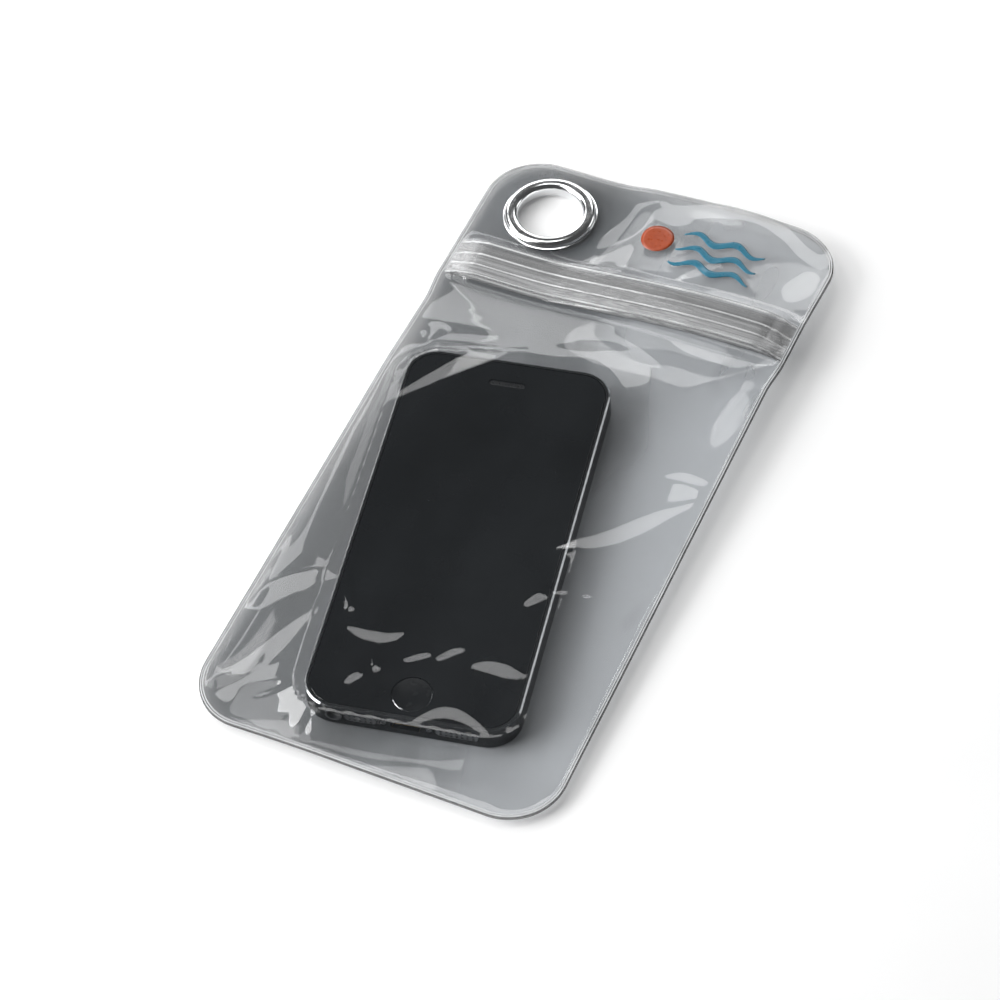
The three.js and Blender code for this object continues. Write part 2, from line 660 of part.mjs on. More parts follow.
function backCover() {
  const margin = COVER_MARGIN + PART_CLEAR;
  const shape = roundedShape(HANDSET_WIDTH - 2 * margin, HANDSET_LENGTH - 2 * margin,
    HANDSET_CORNER - margin);
  const cover = plate(shape, BACK_COVER_THICKNESS, COVER_CHAMFER, CORNER_FACETS);
  const depth = 4 * BACK_COVER_THICKNESS;
  const lensHole = disc(LENS_RADIUS + PART_CLEAR, depth, LENS_FACETS).translate(LENS_X, LENS_Y, 0);
  const flashHole = disc(FLASH_RADIUS + PART_CLEAR, depth, LENS_FACETS).translate(FLASH_X, LENS_Y, 0);
  return part('handset_back_cover', cut(cover, lensHole, flashHole), DARK_METAL_LOOK);
}

function homeButton() {
  const outline = [[0, 0], [HOME_RADIUS, 0], [HOME_RADIUS, HOME_THICKNESS - COVER_CHAMFER],
    [HOME_RADIUS - COVER_CHAMFER, HOME_THICKNESS]];
  for (const share of [0.75, 0.5, 0.25, 0]) {
    outline.push([share * HOME_RADIUS, HOME_THICKNESS - HOME_DISH * (1 - share ** 2)]);
  }
  const points = outline.map(([radius, z]) => new THREE.Vector2(radius, z));
  const button = new THREE.LatheGeometry(points, HOME_FACETS).rotateX(Math.PI / 2);
  const top = HANDSET_THICKNESS - HOME_THICKNESS;
  return part('handset_home_button', solidGeometry(button.translate(0, HOME_Y, top)), BLACK_GLASS_LOOK);
}

function earpieceMesh() {
  const shape = slotShape(EARPIECE_LENGTH, EARPIECE_HEIGHT, 0);
  const count = Math.floor((EARPIECE_LENGTH - EARPIECE_HEIGHT) / EARPIECE_PITCH) + 1;
  for (let k = 0; k < count; k += 1) {
    const hole = new THREE.Path();
    hole.absarc((k - (count - 1) / 2) * EARPIECE_PITCH, 0, EARPIECE_HOLE / 2, 0, Math.PI * 2, true);
    shape.holes.push(hole);
  }
  const mesh = plate(shape, EARPIECE_THICKNESS, 0, 3);
  const level = HANDSET_THICKNESS - EARPIECE_SINK - EARPIECE_THICKNESS;
  return part('handset_earpiece_mesh', solidGeometry(mesh.translate(0, EARPIECE_Y, level)), MESH_LOOK);
}

function volumeButton(name, y) {
  const button = plate(slotShape(2 * VOLUME_RADIUS, 2 * VOLUME_RADIUS, 0),
    BUTTON_DEPTH + BUTTON_PROUD, BUTTON_CHAMFER, 4);
  const placed = facingLeft(button.translate(0, 0, -BUTTON_DEPTH)).translate(0, y, 0);
  return part(name, solidGeometry(placed), DARK_METAL_LOOK);
}

function powerButton() {
  const button = plate(slotShape(POWER_LENGTH, POWER_HEIGHT, 0), BUTTON_DEPTH + BUTTON_PROUD,
    BUTTON_CHAMFER, 4);
  const placed = facingTop(button.translate(POWER_X, 0, -BUTTON_DEPTH));
  return part('handset_power_button', solidGeometry(placed), DARK_METAL_LOOK);
}

// A grille's count of columns is negative where it lies left of the charging slot
function grilleLength(columns) {
  return (Math.abs(columns) - 1) * GRILLE_PITCH + GRILLE_HEIGHT;
}

function grilleMiddle(columns) {
  return Math.sign(columns) * (GRILLE_START + grilleLength(columns) / 2);
}

// A drilled plate in the bottom edge, with rows of small round holes
function grille(name, columns) {
  const shape = slotShape(grilleLength(columns), GRILLE_HEIGHT, 0);
  const last = Math.abs(columns) - 1;
  for (let row = 0; row < GRILLE_ROWS; row += 1) {
    for (let column = 0; column <= last; column += 1) {
      const hole = new THREE.Path();
      hole.absarc((column - last / 2) * GRILLE_PITCH, (row - (GRILLE_ROWS - 1) / 2) * GRILLE_PITCH,
        GRILLE_HOLE / 2, 0, Math.PI * 2, true);
      shape.holes.push(hole);
    }
  }
  const drilled = plate(shape, GRILLE_DEPTH, 0, 3).translate(grilleMiddle(columns), 0, -GRILLE_DEPTH);
  return part(name, solidGeometry(facingBottom(drilled)), MESH_LOOK);
}

function audioSocket() {
  const bore = AUDIO_BORE / 2;
  const outline = [[bore, 0], [bore + AUDIO_WALL, 0], [bore + AUDIO_WALL, -AUDIO_DEPTH],
    [bore, -AUDIO_DEPTH], [bore, 0]];
  const points = outline.map(([radius, z]) => new THREE.Vector2(radius, z)).reverse();
  const socket = new THREE.LatheGeometry(points, 20).rotateX(Math.PI / 2);
  return part('handset_audio_socket', solidGeometry(facingBottom(socket).translate(AUDIO_X, 0, 0)),
    MESH_LOOK);
}

function chargeContact() {
  const length = CHARGE_DEPTH - TONGUE_SINK - PART_CLEAR;
  const tongue = new THREE.BoxGeometry(TONGUE_WIDTH, TONGUE_HEIGHT, length);
  const placed = facingBottom(tongue.translate(0, 0, -TONGUE_SINK - length / 2));
  return part('handset_charge_contact', solidGeometry(placed), CONTACT_LOOK);
}

function bottomScrew(name, x) {
  const head = disc(SCREW_RADIUS, SCREW_DEPTH, 12).translate(0, 0, -SCREW_DEPTH / 2);
  const slotWidth = SCREW_RADIUS / 3;
  const across = new THREE.BoxGeometry(SCREW_RADIUS * 1.2, slotWidth, SCREW_DEPTH / 2);
  const upright = new THREE.BoxGeometry(slotWidth, SCREW_RADIUS * 1.2, SCREW_DEPTH / 2);
  const screw = cut(head, across, upright).translate(x, 0, -SCREW_SINK);
  return part(name, facingBottom(screw), MESH_LOOK);
}

function backWindow(name, x, radius) {
  const window = disc(radius, LENS_THICKNESS, LENS_FACETS);
  const level = LENS_SINK + LENS_THICKNESS / 2;
  return part(name, solidGeometry(window.translate(x, LENS_Y, level)), BLACK_GLASS_LOOK);
}

function handset() {
  const group = new THREE.Group();
  group.add(
    chassis(), frontGlass(), backCover(), homeButton(), earpieceMesh(),
    volumeButton('handset_volume_up_button', VOLUME_UP_Y),
    volumeButton('handset_volume_down_button', VOLUME_DOWN_Y),
    powerButton(),
    grille('handset_left_grille', -LEFT_GRILLE_COLUMNS),
    grille('handset_right_grille', RIGHT_GRILLE_COLUMNS),
    audioSocket(), chargeContact(),
    bottomScrew('handset_left_screw', -SCREW_X), bottomScrew('handset_right_screw', SCREW_X),
    backWindow('handset_rear_lens', LENS_X, LENS_RADIUS),
    backWindow('handset_flash_lens', FLASH_X, FLASH_RADIUS),
  );
  group.position.set(HANDSET_X, HANDSET_Y, HANDSET_Z);
  group.rotation.z = HANDSET_TURN;
  return group;
}

const pouch = new THREE.Group();
pouch.name = 'phone_pouch';
pouch.add(backSheet(), frontSheet(), zipRibStrip(), zipGrooveStrip(), eyelet(), handset());

export default pouch;
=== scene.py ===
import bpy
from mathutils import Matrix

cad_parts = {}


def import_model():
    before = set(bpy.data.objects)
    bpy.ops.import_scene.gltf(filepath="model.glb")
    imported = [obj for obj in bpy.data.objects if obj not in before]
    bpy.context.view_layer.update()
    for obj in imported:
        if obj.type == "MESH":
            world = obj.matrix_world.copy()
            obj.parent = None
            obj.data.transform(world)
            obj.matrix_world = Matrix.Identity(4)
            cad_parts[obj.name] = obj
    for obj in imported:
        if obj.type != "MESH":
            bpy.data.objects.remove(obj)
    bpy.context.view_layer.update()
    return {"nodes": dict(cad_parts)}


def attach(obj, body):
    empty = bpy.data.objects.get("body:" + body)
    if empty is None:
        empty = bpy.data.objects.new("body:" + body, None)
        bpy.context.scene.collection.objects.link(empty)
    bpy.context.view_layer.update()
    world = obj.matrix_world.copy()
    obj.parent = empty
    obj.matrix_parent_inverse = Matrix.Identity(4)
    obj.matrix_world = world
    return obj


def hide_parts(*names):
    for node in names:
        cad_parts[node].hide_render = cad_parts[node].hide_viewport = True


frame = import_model()

import math

import bmesh
import bpy
import numpy as np
from mathutils import Matrix, Vector

# Lengths are millimetres, turned to metres where a mesh or the camera is made. The floor and the lights
# are given in metres.
MM = 0.001

# Pouch, as its solids are made
POUCH_WIDTH = 107.0
POUCH_LENGTH = 215.0
POUCH_CORNER = 16.0
BODY_DRAW = 1.0
DRAW_FADE = 12.0
FILM = 0.35
FILM_GAP = 0.15
WELD_WIDTH = 1.3
EDGE_LIFT = 1.3
SIDE_CURL = 5.2
HEADER_DROP = 0.75
HEADER_ARCH = 3.4
ARCH_X = 20.0
ARCH_SPAN = 62.0
WELD_PULL = 2.6
PULL_REACH = 14.0
CLING = 1.7
SAG = 1.25
TENT_SHOULDER = 3.0
TENT_HEIGHT = 8.9
LIP_OPENING = 0.9

ZIP_Y = 64.2
ZIP_HEIGHT = 13.5
ZIP_THICKNESS = 2.4
ZIP_TAPE = 0.45
ZIP_CLEAR = 0.3
ZIP_END = 49.3
ZIP_CRUSH_LENGTH = 7.0
ZIP_CRUSH = 0.55
ZIP_TAPER_START = -0.5
ZIP_TAPER = 8.0
ZIP_FADE = 3.5
LEVEL_FADE = 14.0
ZIP_LOW = ZIP_Y - ZIP_HEIGHT / 2
ZIP_HIGH = ZIP_Y + ZIP_HEIGHT / 2
ZIP_SPACE = ZIP_THICKNESS + 2 * ZIP_CLEAR
TAPE_FACE = ZIP_THICKNESS / 2 - ZIP_TAPE
TRACK_Y = -0.3
RAIL_Y = -5.3

EYELET_X = -32.2
EYELET_Y = 88.7
EYELET_BORE = 9.35
BARREL_WALL = 0.55
FLANGE_RADIUS = 13.75
FLANGE_HEIGHT = 2.0
FLANGE_LIP = 0.35
FLANGE_FLAT = 0.8
WASHER_THICKNESS = 0.5
WASHER_RADIUS = 13.0
ROLL_RADIUS = 11.7
ROLL_HEIGHT = 0.8
EYELET_CLEAR = 0.1
EYELET_HOLE = 10.25
EYELET_PATCH = 18.75
EYELET_FADE = 13.0
EYELET_STACK = 1.5
EYELET_FILM = 0.85

HANDSET_X = -5.0
HANDSET_Y = -31.0
HANDSET_Z = 0.65
HANDSET_TURN = math.radians(11)
HANDSET_WIDTH = 58.6
HANDSET_LENGTH = 123.8
HANDSET_THICKNESS = 7.6
HANDSET_CORNER = 9.0
HANDSET_TOP = HANDSET_Z + HANDSET_THICKNESS

# Meshes of the film
FRONT_STEP = 0.75
BACK_STEP = 1.25
CORNER_STEPS = 22
RIM_RINGS = (0, 0.15, 0.3, 0.45, 0.6, 0.8, 1.0, 1.1, 1.2, 1.35, 1.5, 1.8, 2.2, 2.8, 3.5, 4.3, 5.3,
             6.4, 7.5, 8.6, 9.7, 10.8, 11.9, 12.95, 14.0, 15.0)
WELD_LINES = ((0.3, 0.6), (1.0, 1.2))
WELD_LINE_HALF = 0.24
RIM_BEAD = 0.14
WELD_BEAD = 0.12
CRUSHED_REACH = 7.0
SHEETS_APART = 0.05
OVER_GLASS = 0.08
OVER_GLASS_REACH = 1.0
OFF_FLOOR = 0.02
# Places in a sheet's list of materials; the weld's lines carry a painted highlight, its gap and rim
# painted shade
PLAIN_FILM, MILKY_WELD_HIGHLIGHT, WELD_GAP_SHADE, ZIP_FILM, CRUSHED_FILM, WELD_RIM_SHADE = range(6)
HOLE_KEEP = 0.985
HOLE_REACH = 1.5

# Angles, in degrees, above which an edge stays sharp
SHEET_ANGLE = 60.0
PRINT_ANGLE = 40.0
PIECE_ANGLE = 35.0
NODE_ANGLE = 28.0

# Camera
CAMERA_TARGET = (-3.136, -10.967, 0.0)
CAMERA_DISTANCE = 1015.1
CAMERA_AZIMUTH = 28.46
CAMERA_ELEVATION = 51.83
CAMERA_ROLL = -5.095
CAMERA_LENS = 133.2


def ease(start, end, value):
    """0 before start, 1 after end, smooth between them."""
    share = np.clip((value - start) / (end - start), 0, 1)
    return share * share * (3 - 2 * share)


def lerp(low, high, share):
    return low + (high - low) * share


def rounded_distance(x, y, width, length, radius):
    """Signed distance to a rounded rectangle about the origin, negative inside it."""
    over_x = np.abs(x) - width / 2 + radius
    over_y = np.abs(y) - length / 2 + radius
    outside = np.hypot(np.maximum(over_x, 0), np.maximum(over_y, 0))
    return outside + np.minimum(np.maximum(over_x, over_y), 0) - radius


def drawn_in(y):
    return BODY_DRAW * (1 - ease(ZIP_LOW - DRAW_FADE, ZIP_LOW, y))


def edge_distance(x, y):
    flat_x = x * POUCH_WIDTH / (POUCH_WIDTH - 2 * drawn_in(y))
    return np.maximum(0, -rounded_distance(flat_x, y, POUCH_WIDTH, POUCH_LENGTH, POUCH_CORNER))


def handset_frame(x, y):
    """A point in the handset's own plan: across it and along it."""
    dx = x - HANDSET_X
    dy = y - HANDSET_Y
    across = dx * math.cos(HANDSET_TURN) + dy * math.sin(HANDSET_TURN)
    along = dy * math.cos(HANDSET_TURN) - dx * math.sin(HANDSET_TURN)
    return across, along


def handset_distance(x, y):
    across, along = handset_frame(x, y)
    away = rounded_distance(across, along, HANDSET_WIDTH, HANDSET_LENGTH, HANDSET_CORNER)
    return np.maximum(0, away - TENT_SHOULDER)


def past_zip(y):
    return np.maximum(np.maximum(ZIP_LOW - y, y - ZIP_HIGH), 0)


def zip_band(y):
    return np.maximum(0, 1 - past_zip(y) / ZIP_FADE)


def leveled(y):
    offset = np.clip(y - ZIP_Y, -ZIP_HEIGHT / 2, ZIP_HEIGHT / 2)
    fade = np.where(y < ZIP_Y, LEVEL_FADE, ZIP_FADE)
    return y - offset * np.maximum(0, 1 - past_zip(y) / fade)


def span_share(x, y):
    """0 over the handset, 1 where the welds or the zip hold the sheets together."""
    away = handset_distance(x, y)
    held = np.maximum(0, np.minimum(edge_distance(x, y) - WELD_WIDTH, ZIP_Y - y))
    return np.where(away == 0, 0, away / np.maximum(away + held, 1e-9))


def eyelet_patch(x, y):
    away = np.hypot(x - EYELET_X, y - EYELET_Y)
    return 1 - ease(EYELET_PATCH, EYELET_PATCH + EYELET_FADE, away)


def curl(x, y):
    """How high the free film curls off the floor."""
    half = POUCH_LENGTH / 2
    drop = 1 - HEADER_DROP * ease(ZIP_Y, half, y)
    side = ease(-POUCH_WIDTH / 4, POUCH_WIDTH / 2, x) * ease(-half, ZIP_LOW, y) * drop
    across = np.clip((x - ARCH_X) / ARCH_SPAN, -1, 1)
    arch = np.cos(across * math.pi / 2) ** 2 * ease(0, half, y)
    pull = WELD_PULL * np.exp(-handset_distance(x, y) / PULL_REACH)
    return EDGE_LIFT + SIDE_CURL * side + HEADER_ARCH * arch + pull


def zip_scale(x):
    return lerp(ZIP_CRUSH, 1, ease(0, ZIP_CRUSH_LENGTH, ZIP_END - np.abs(x)))


def zip_space(x):
    inward = POUCH_WIDTH / 2 - WELD_WIDTH - np.abs(x)
    return ZIP_SPACE * np.minimum(zip_scale(x), ease(ZIP_TAPER_START, ZIP_TAPER, inward))


def back_level(x, y):
    """Top of the back sheet before its folds."""
    free = FILM + curl(x, leveled(y)) * span_share(x, leveled(y)) ** CLING
    return lerp(free, EYELET_STACK + FILM, eyelet_patch(x, leveled(y)))


def film_space(x, y):
    tent = TENT_HEIGHT * (1 - span_share(x, leveled(y))) ** SAG
    zipper = zip_space(x) * zip_band(y)
    middle = 1 - np.minimum(1, np.abs(x - ARCH_X) / ARCH_SPAN) ** 2
    lips = LIP_OPENING * middle * ease(ZIP_HIGH, POUCH_LENGTH / 2, y)
    return FILM_GAP + np.maximum(np.maximum(tent, zipper), lips * (1 - eyelet_patch(x, y)))


# Creases of the film: each is a flank that rises across a lens-shaped patch, given by the two ends of
# its middle line, its greatest width, its slope and how far its middle hangs below its ends
GLINTS = (
    # over the lower end of the handset
    ((-22.8, -70.4), (-4.2, -66.4), 3.0, 0.17, 4.5),
    ((-22.3, -67.0), (-19.9, -65.6), 2.0, 0.17),
    ((-7.7, -81.6), (-5.5, -80.4), 1.7, 0.17),
    ((-12.6, -88.3), (-8.6, -83.4), 1.7, 0.17),
    ((-2.2, -75.9), (6.4, -71.5), 1.2, 0.17),
    ((6.0, -72.6), (13.4, -66.2), 1.6, 0.17),
    ((15.6, -71.4), (31.0, -67.4), 3.4, 0.17),
    ((8.5, -94.0), (29.0, -88.5), 2.6, 0.17, -4.0),
    ((20.6, -47.8), (27.0, -40.6), 2.2, 0.17),
    # left of it
    ((-53.5, -71.0), (-29.0, -57.0), 8.0, 0.22),
    ((-52.0, -103.0), (-27.0, -69.0), 6.0, 0.2),
    # right of it, facing the other way
    ((53.5, 4.0), (19.0, -27.5), 7.5, 0.25),
    ((52.0, 12.0), (36.6, 8.0), 4.6, 0.22),
    ((43.0, -30.0), (24.0, -44.0), 3.0, 0.22),
    # dull patch between the handset and the zip
    ((14.0, 46.5), (-9.0, 40.5), 7.0, 0.17),
    # header
    ((22.2, 86.0), (13.1, 73.5), 3.0, 0.15),
    ((-4.0, 104.0), (-14.0, 80.0), 9.0, 0.2),
)
GLINT_BACK = 8.0
CREASE_START = 0.7
CREASE_FULL = 4
GLINT_WOBBLE = 0.05
GLINT_WOBBLE_TURN = 4.7

# Lines to the left of which, towards -X, the front film leans down, with the slope and the softness of
# the bend
LEANS = (
    ((-18.8, 30.0), (-34.8, 12.0), 0.16, 0.3),
    ((-33.0, 14.0), (-35.5, -30.0), 0.07, 0.5),
)
LEAN_END = (28, 40)
HEADER_ROLL_Y = 97.5
HEADER_ROLL_RISE = (7, 0, 20)
HEADER_ROLL_FALL = (9, 24, 50)
HEADER_ROLL_SLOPE = 0.18
HEADER_ROLL_BEND = 0.8
HEADER_SIDE = 7
ZIP_APRON = 1.5
ZIP_APRON_REACH = 8.0
ZIP_APRON_END = (-10, 14)
ZIP_BLEND = 2

# Waves of the film: height, length, seed and number of waves
COMMON_WAVES = (0.25, 44, 4, 5)
FRONT_WAVES = (0.12, 30, 21, 5)
SHEETS_PART = (6, 22)
BESIDE_HANDSET = (1, 10)
WAVE_STRETCH = (0.8, 1.3)
LOOSE_FROM_EDGE = 9
LOOSE_FROM_ZIP = 6
WRINKLES = ((0.1, 2.2, 1.1, 0), (0.07, 3.6, -1.9, 1))
WRINKLE_END = (14, 4)
WRINKLE_EDGE = 3
WRINKLE_BESIDE = 2.5
FAN_HEIGHT = 0.14
FAN_HEIGHT_STEP = 0.04
FAN_COUNT = 16
FAN_COUNT_STEP = 4
FAN_INNER = (9, 13)
FAN_OUTER = (30, 16)
FAN_SIDES = 5


def glint(x, y, start, end, width, slope, sag=0.0):
    """A flank that rises across a lens-shaped patch and eases off behind it."""
    run = np.subtract(end, start)
    length = math.hypot(*run)
    along = ((x - start[0]) * run[0] + (y - start[1]) * run[1]) / length ** 2
    off = ((y - start[1]) * run[0] - (x - start[0]) * run[1]) / length
    off = off + GLINT_WOBBLE * length * np.sin(along * GLINT_WOBBLE_TURN + width)
    off = off + 4 * sag * along * (1 - along)
    half = width / 2 * np.maximum(0, 1 - (2 * along - 1) ** 2)
    rise = np.clip(off + half, 0, 2 * half)
    fall = np.exp(-np.maximum(off - half, 0) / GLINT_BACK)
    return slope * rise * fall


def bend(distance, softness):
    """0 where distance is negative and distance where it is positive, rounded between them."""
    return (np.sqrt(distance ** 2 + softness ** 2) + distance) / 2


def lean(x, y, start, end, slope, softness):
    run = np.subtract(end, start)
    off = ((x - start[0]) * run[1] - (y - start[1]) * run[0]) / math.hypot(*run)
    return -slope * bend(off, softness)


def swell(x, y, height, length, seed, count):
    """Gentle uneven waves of about the given height and length."""
    random = np.random.default_rng(seed)
    total = np.zeros_like(x)
    for _ in range(count):
        angle, phase = random.uniform(0, math.tau, 2)
        stretch = random.uniform(*WAVE_STRETCH)
        travel = (x * math.cos(angle) + y * math.sin(angle)) / (length * stretch)
        total += np.sin(math.tau * travel + phase)
    return height * (total / math.sqrt(count))


def loose(x, y):
    """1 on the free film, 0 at the welds, the zip and the eyelet."""
    free = ease(WELD_WIDTH, LOOSE_FROM_EDGE, edge_distance(x, y)) * (1 - eyelet_patch(x, y))
    return free * ease(0, LOOSE_FROM_ZIP, past_zip(y))


def common_waves(x, y):
    """Undulation that both sheets share where they lie together."""
    apart = ease(*SHEETS_PART, handset_distance(x, y))
    return loose(x, y) * apart * swell(x, y, *COMMON_WAVES)


def header_shape(x, y):
    """The header rolls down to its top edge and rises to the zip."""
    rise, rise_start, rise_end = HEADER_ROLL_RISE
    fall, fall_start, fall_end = HEADER_ROLL_FALL
    edge = HEADER_ROLL_Y + rise * ease(rise_start, rise_end, x) - fall * ease(fall_start, fall_end, x)
    roll = -HEADER_ROLL_SLOPE * bend(y - edge, HEADER_ROLL_BEND)
    apron = ZIP_APRON * np.exp(-np.maximum(y - ZIP_HIGH, 0) / ZIP_APRON_REACH)
    apron = apron * (1 - ease(*ZIP_APRON_END, x))
    held = 1 - eyelet_patch(x, y)
    header = ease(ZIP_HIGH - ZIP_BLEND / 2, ZIP_HIGH + ZIP_BLEND, y)
    inward = ease(WELD_WIDTH, HEADER_SIDE, POUCH_WIDTH / 2 - np.abs(x))
    return header * (roll + apron) * held * inward


def end_wrinkles(x, y):
    """Wrinkles across the crushed ends of the zip and the film round them."""
    end = ease(*WRINKLE_END, POUCH_WIDTH / 2 - np.abs(x))
    end = end * ease(WELD_WIDTH, WRINKLE_EDGE, edge_distance(x, y))
    beside = np.exp(-(past_zip(y) / WRINKLE_BESIDE) ** 2)
    ripples = sum(height * np.sin(across * x + along * y + phase)
                  for height, across, along, phase in WRINKLES)
    return end * beside * ripples


def corner_folds(x, y):
    """Small folds that fan out from the handset's two lower corners."""
    across, along = handset_frame(x, y)
    side = np.sign(across)
    out = side * across - (HANDSET_WIDTH / 2 - HANDSET_CORNER)
    down = HANDSET_CORNER - HANDSET_LENGTH / 2 - along
    radius = np.hypot(out, down)
    fan = ease(0, FAN_SIDES, out) * ease(0, FAN_SIDES, down)
    fan = fan * ease(*FAN_INNER, radius) * ease(*FAN_OUTER, radius)
    height = FAN_HEIGHT - FAN_HEIGHT_STEP * side
    return fan * height * np.sin((FAN_COUNT - FAN_COUNT_STEP * side) * np.arctan2(down, out) + side)


def front_waves(x, y):
    """Everything that the front film does beyond its tent: waves, leans, creases and folds."""
    body = 1 - ease(ZIP_LOW - ZIP_BLEND, ZIP_LOW + ZIP_BLEND, y)
    waves = ease(*BESIDE_HANDSET, handset_distance(x, y)) * swell(x, y, *FRONT_WAVES)
    held = ease(WELD_WIDTH * CREASE_START, CREASE_FULL, edge_distance(x, y))
    creases = sum(glint(x, y, *values) for values in GLINTS)
    leans = sum(lean(x, y, *values) for values in LEANS)
    low = 1 - ease(*LEAN_END, y)
    folds = held * (creases + corner_folds(x, y)) + end_wrinkles(x, y)
    return body * loose(x, y) * (waves + leans * low) + folds


def weld_profile(x, y):
    """The two pressed lines of the weld, one at the rim and one inside it."""
    away = edge_distance(x, y)
    rim, inner = (np.exp(-((away - sum(line) / 2) / WELD_LINE_HALF) ** 2) for line in WELD_LINES)
    open_mouth = ease(POUCH_LENGTH / 2 - POUCH_CORNER, POUCH_LENGTH / 2, y)
    return RIM_BEAD * rim + WELD_BEAD * inner * (1 - open_mouth)


def back_top(x, y):
    return np.maximum(FILM + OFF_FLOOR, back_level(x, y) + common_waves(x, y))


def back_bottom(x, y):
    return back_top(x, y) - FILM - weld_profile(x, y)


def front_bottom(x, y):
    across, along = handset_frame(x, y)
    away = rounded_distance(across, along, HANDSET_WIDTH, HANDSET_LENGTH, HANDSET_CORNER)
    over = np.where(away < OVER_GLASS_REACH, HANDSET_TOP + OVER_GLASS, 0)
    level = back_level(x, y) + common_waves(x, y) + film_space(x, y) + front_waves(x, y)
    level = level + header_shape(x, y)
    return np.maximum(np.maximum(level, back_top(x, y) + SHEETS_APART), over)


def front_top(x, y):
    return front_bottom(x, y) + FILM + weld_profile(x, y)


def sheet_plan(step):
    """Points and faces of the pouch's outline: a grid with rings round it that follow the edge."""
    half_x = POUCH_WIDTH / 2 - POUCH_CORNER
    half_y = POUCH_LENGTH / 2 - POUCH_CORNER
    columns = np.linspace(-half_x, half_x, round(2 * half_x / step) + 1)
    rows = np.linspace(-half_y, half_y, round(2 * half_y / step) + 1)
    points = [(x, y) for y in rows for x in columns]
    wide, high = len(columns), len(rows)
    faces = [
        (j * wide + i, j * wide + i + 1, (j + 1) * wide + i + 1, (j + 1) * wide + i)
        for j in range(high - 1)
        for i in range(wide - 1)
    ]
    inner = rim_of_grid(wide, high)
    for inset in reversed(RIM_RINGS):
        first = len(points)
        points += ring(columns, rows, POUCH_CORNER - inset)
        outer = list(range(first, len(points)))
        faces += band(inner, outer)
        inner = outer
    plan = np.array(points)
    plan[:, 0] *= 1 - 2 * drawn_in(plan[:, 1]) / POUCH_WIDTH
    return plan, faces


def rim_of_grid(wide, high):
    """The grid's border anticlockwise, with each corner repeated for the steps of its arc."""
    bottom = list(range(wide))
    right = [j * wide + wide - 1 for j in range(high)]
    top = [(high - 1) * wide + i for i in reversed(range(wide))]
    left = [j * wide for j in reversed(range(high))]
    border = []
    for side in (bottom, right, top, left):
        border += [side[0]] * CORNER_STEPS + side[:-1]
    return border


def ring(columns, rows, radius):
    """One ring about the grid at that distance from it, in the order of rim_of_grid."""
    low_x, high_x, low_y, high_y = columns[0], columns[-1], rows[0], rows[-1]
    sides = (
        (low_x, low_y, 180, [(x, low_y - radius) for x in columns]),
        (high_x, low_y, 270, [(high_x + radius, y) for y in rows]),
        (high_x, high_y, 0, [(x, high_y + radius) for x in columns[::-1]]),
        (low_x, high_y, 90, [(low_x - radius, y) for y in rows[::-1]]),
    )
    points = []
    for x, y, start, side in sides:
        for k in range(CORNER_STEPS):
            angle = math.radians(start + 90 * k / CORNER_STEPS)
            points.append((x + radius * math.cos(angle), y + radius * math.sin(angle)))
        points += side[:-1]
    return points


def band(inner, outer):
    faces = []
    count = len(outer)
    for k in range(count):
        n = (k + 1) % count
        corners = (outer[k], outer[n], inner[n], inner[k])
        faces.append(tuple(dict.fromkeys(corners)))
    return faces


def with_hole(points, faces, x, y, radius):
    """The same plan with a clean round hole: faces inside go, and the border is set on the circle."""
    away = np.hypot(points[:, 0] - x, points[:, 1] - y)
    kept = [face for face in faces if all(away[k] > radius * HOLE_KEEP for k in face)]
    used = sorted({k for face in kept for k in face})
    renumber = {old: new for new, old in enumerate(used)}
    points = points[used].copy()
    kept = [tuple(renumber[k] for k in face) for face in kept]
    away = np.hypot(points[:, 0] - x, points[:, 1] - y)
    for k in {k for edge in borders(kept) for k in edge}:
        if away[k] < radius * HOLE_REACH:
            points[k] = np.array([x, y]) + (points[k] - [x, y]) * radius / away[k]
    return points, kept


def borders(faces):
    """Directed edges that only one face uses."""
    seen = set()
    for face in faces:
        for a, b in zip(face, face[1:] + face[:1]):
            seen.add((a, b))
    return [(a, b) for a, b in seen if (b, a) not in seen]


def new_object(name, points, faces, materials, sharp_angle):
    """A mesh object from millimetre points, smooth but for edges sharper than the angle."""
    mesh = bpy.data.meshes.new(name)
    mesh.from_pydata([tuple(MM * c for c in p) for p in points], [], faces)
    mesh.validate()
    obj = bpy.data.objects.new(name, mesh)
    bpy.context.scene.collection.objects.link(obj)
    for material in materials:
        mesh.materials.append(material)
    soften(mesh, sharp_angle)
    return obj


def soften(mesh, sharp_angle):
    mesh.shade_smooth()
    mesh.set_sharp_from_angle(angle=math.radians(sharp_angle))


def face_outwards(mesh):
    work = bmesh.new()
    work.from_mesh(mesh)
    bmesh.ops.recalc_face_normals(work, faces=work.faces)
    work.to_mesh(mesh)
    work.free()


def film_sheet(name, step, lower, upper, materials):
    plan, faces = sheet_plan(step)
    plan, faces = with_hole(plan, faces, EYELET_X, EYELET_Y, EYELET_HOLE)
    x, y = plan[:, 0], plan[:, 1]
    count = len(plan)
    points = np.concatenate([
        np.column_stack([x, y, lower(x, y)]),
        np.column_stack([x, y, upper(x, y)]),
    ])
    shell = [face[::-1] for face in faces]
    shell += [tuple(k + count for k in face) for face in faces]
    shell += [(a, b, b + count, a + count) for a, b in borders(faces)]
    obj = new_object(name, points, shell, materials, SHEET_ANGLE)
    mark_weld(obj)
    return obj


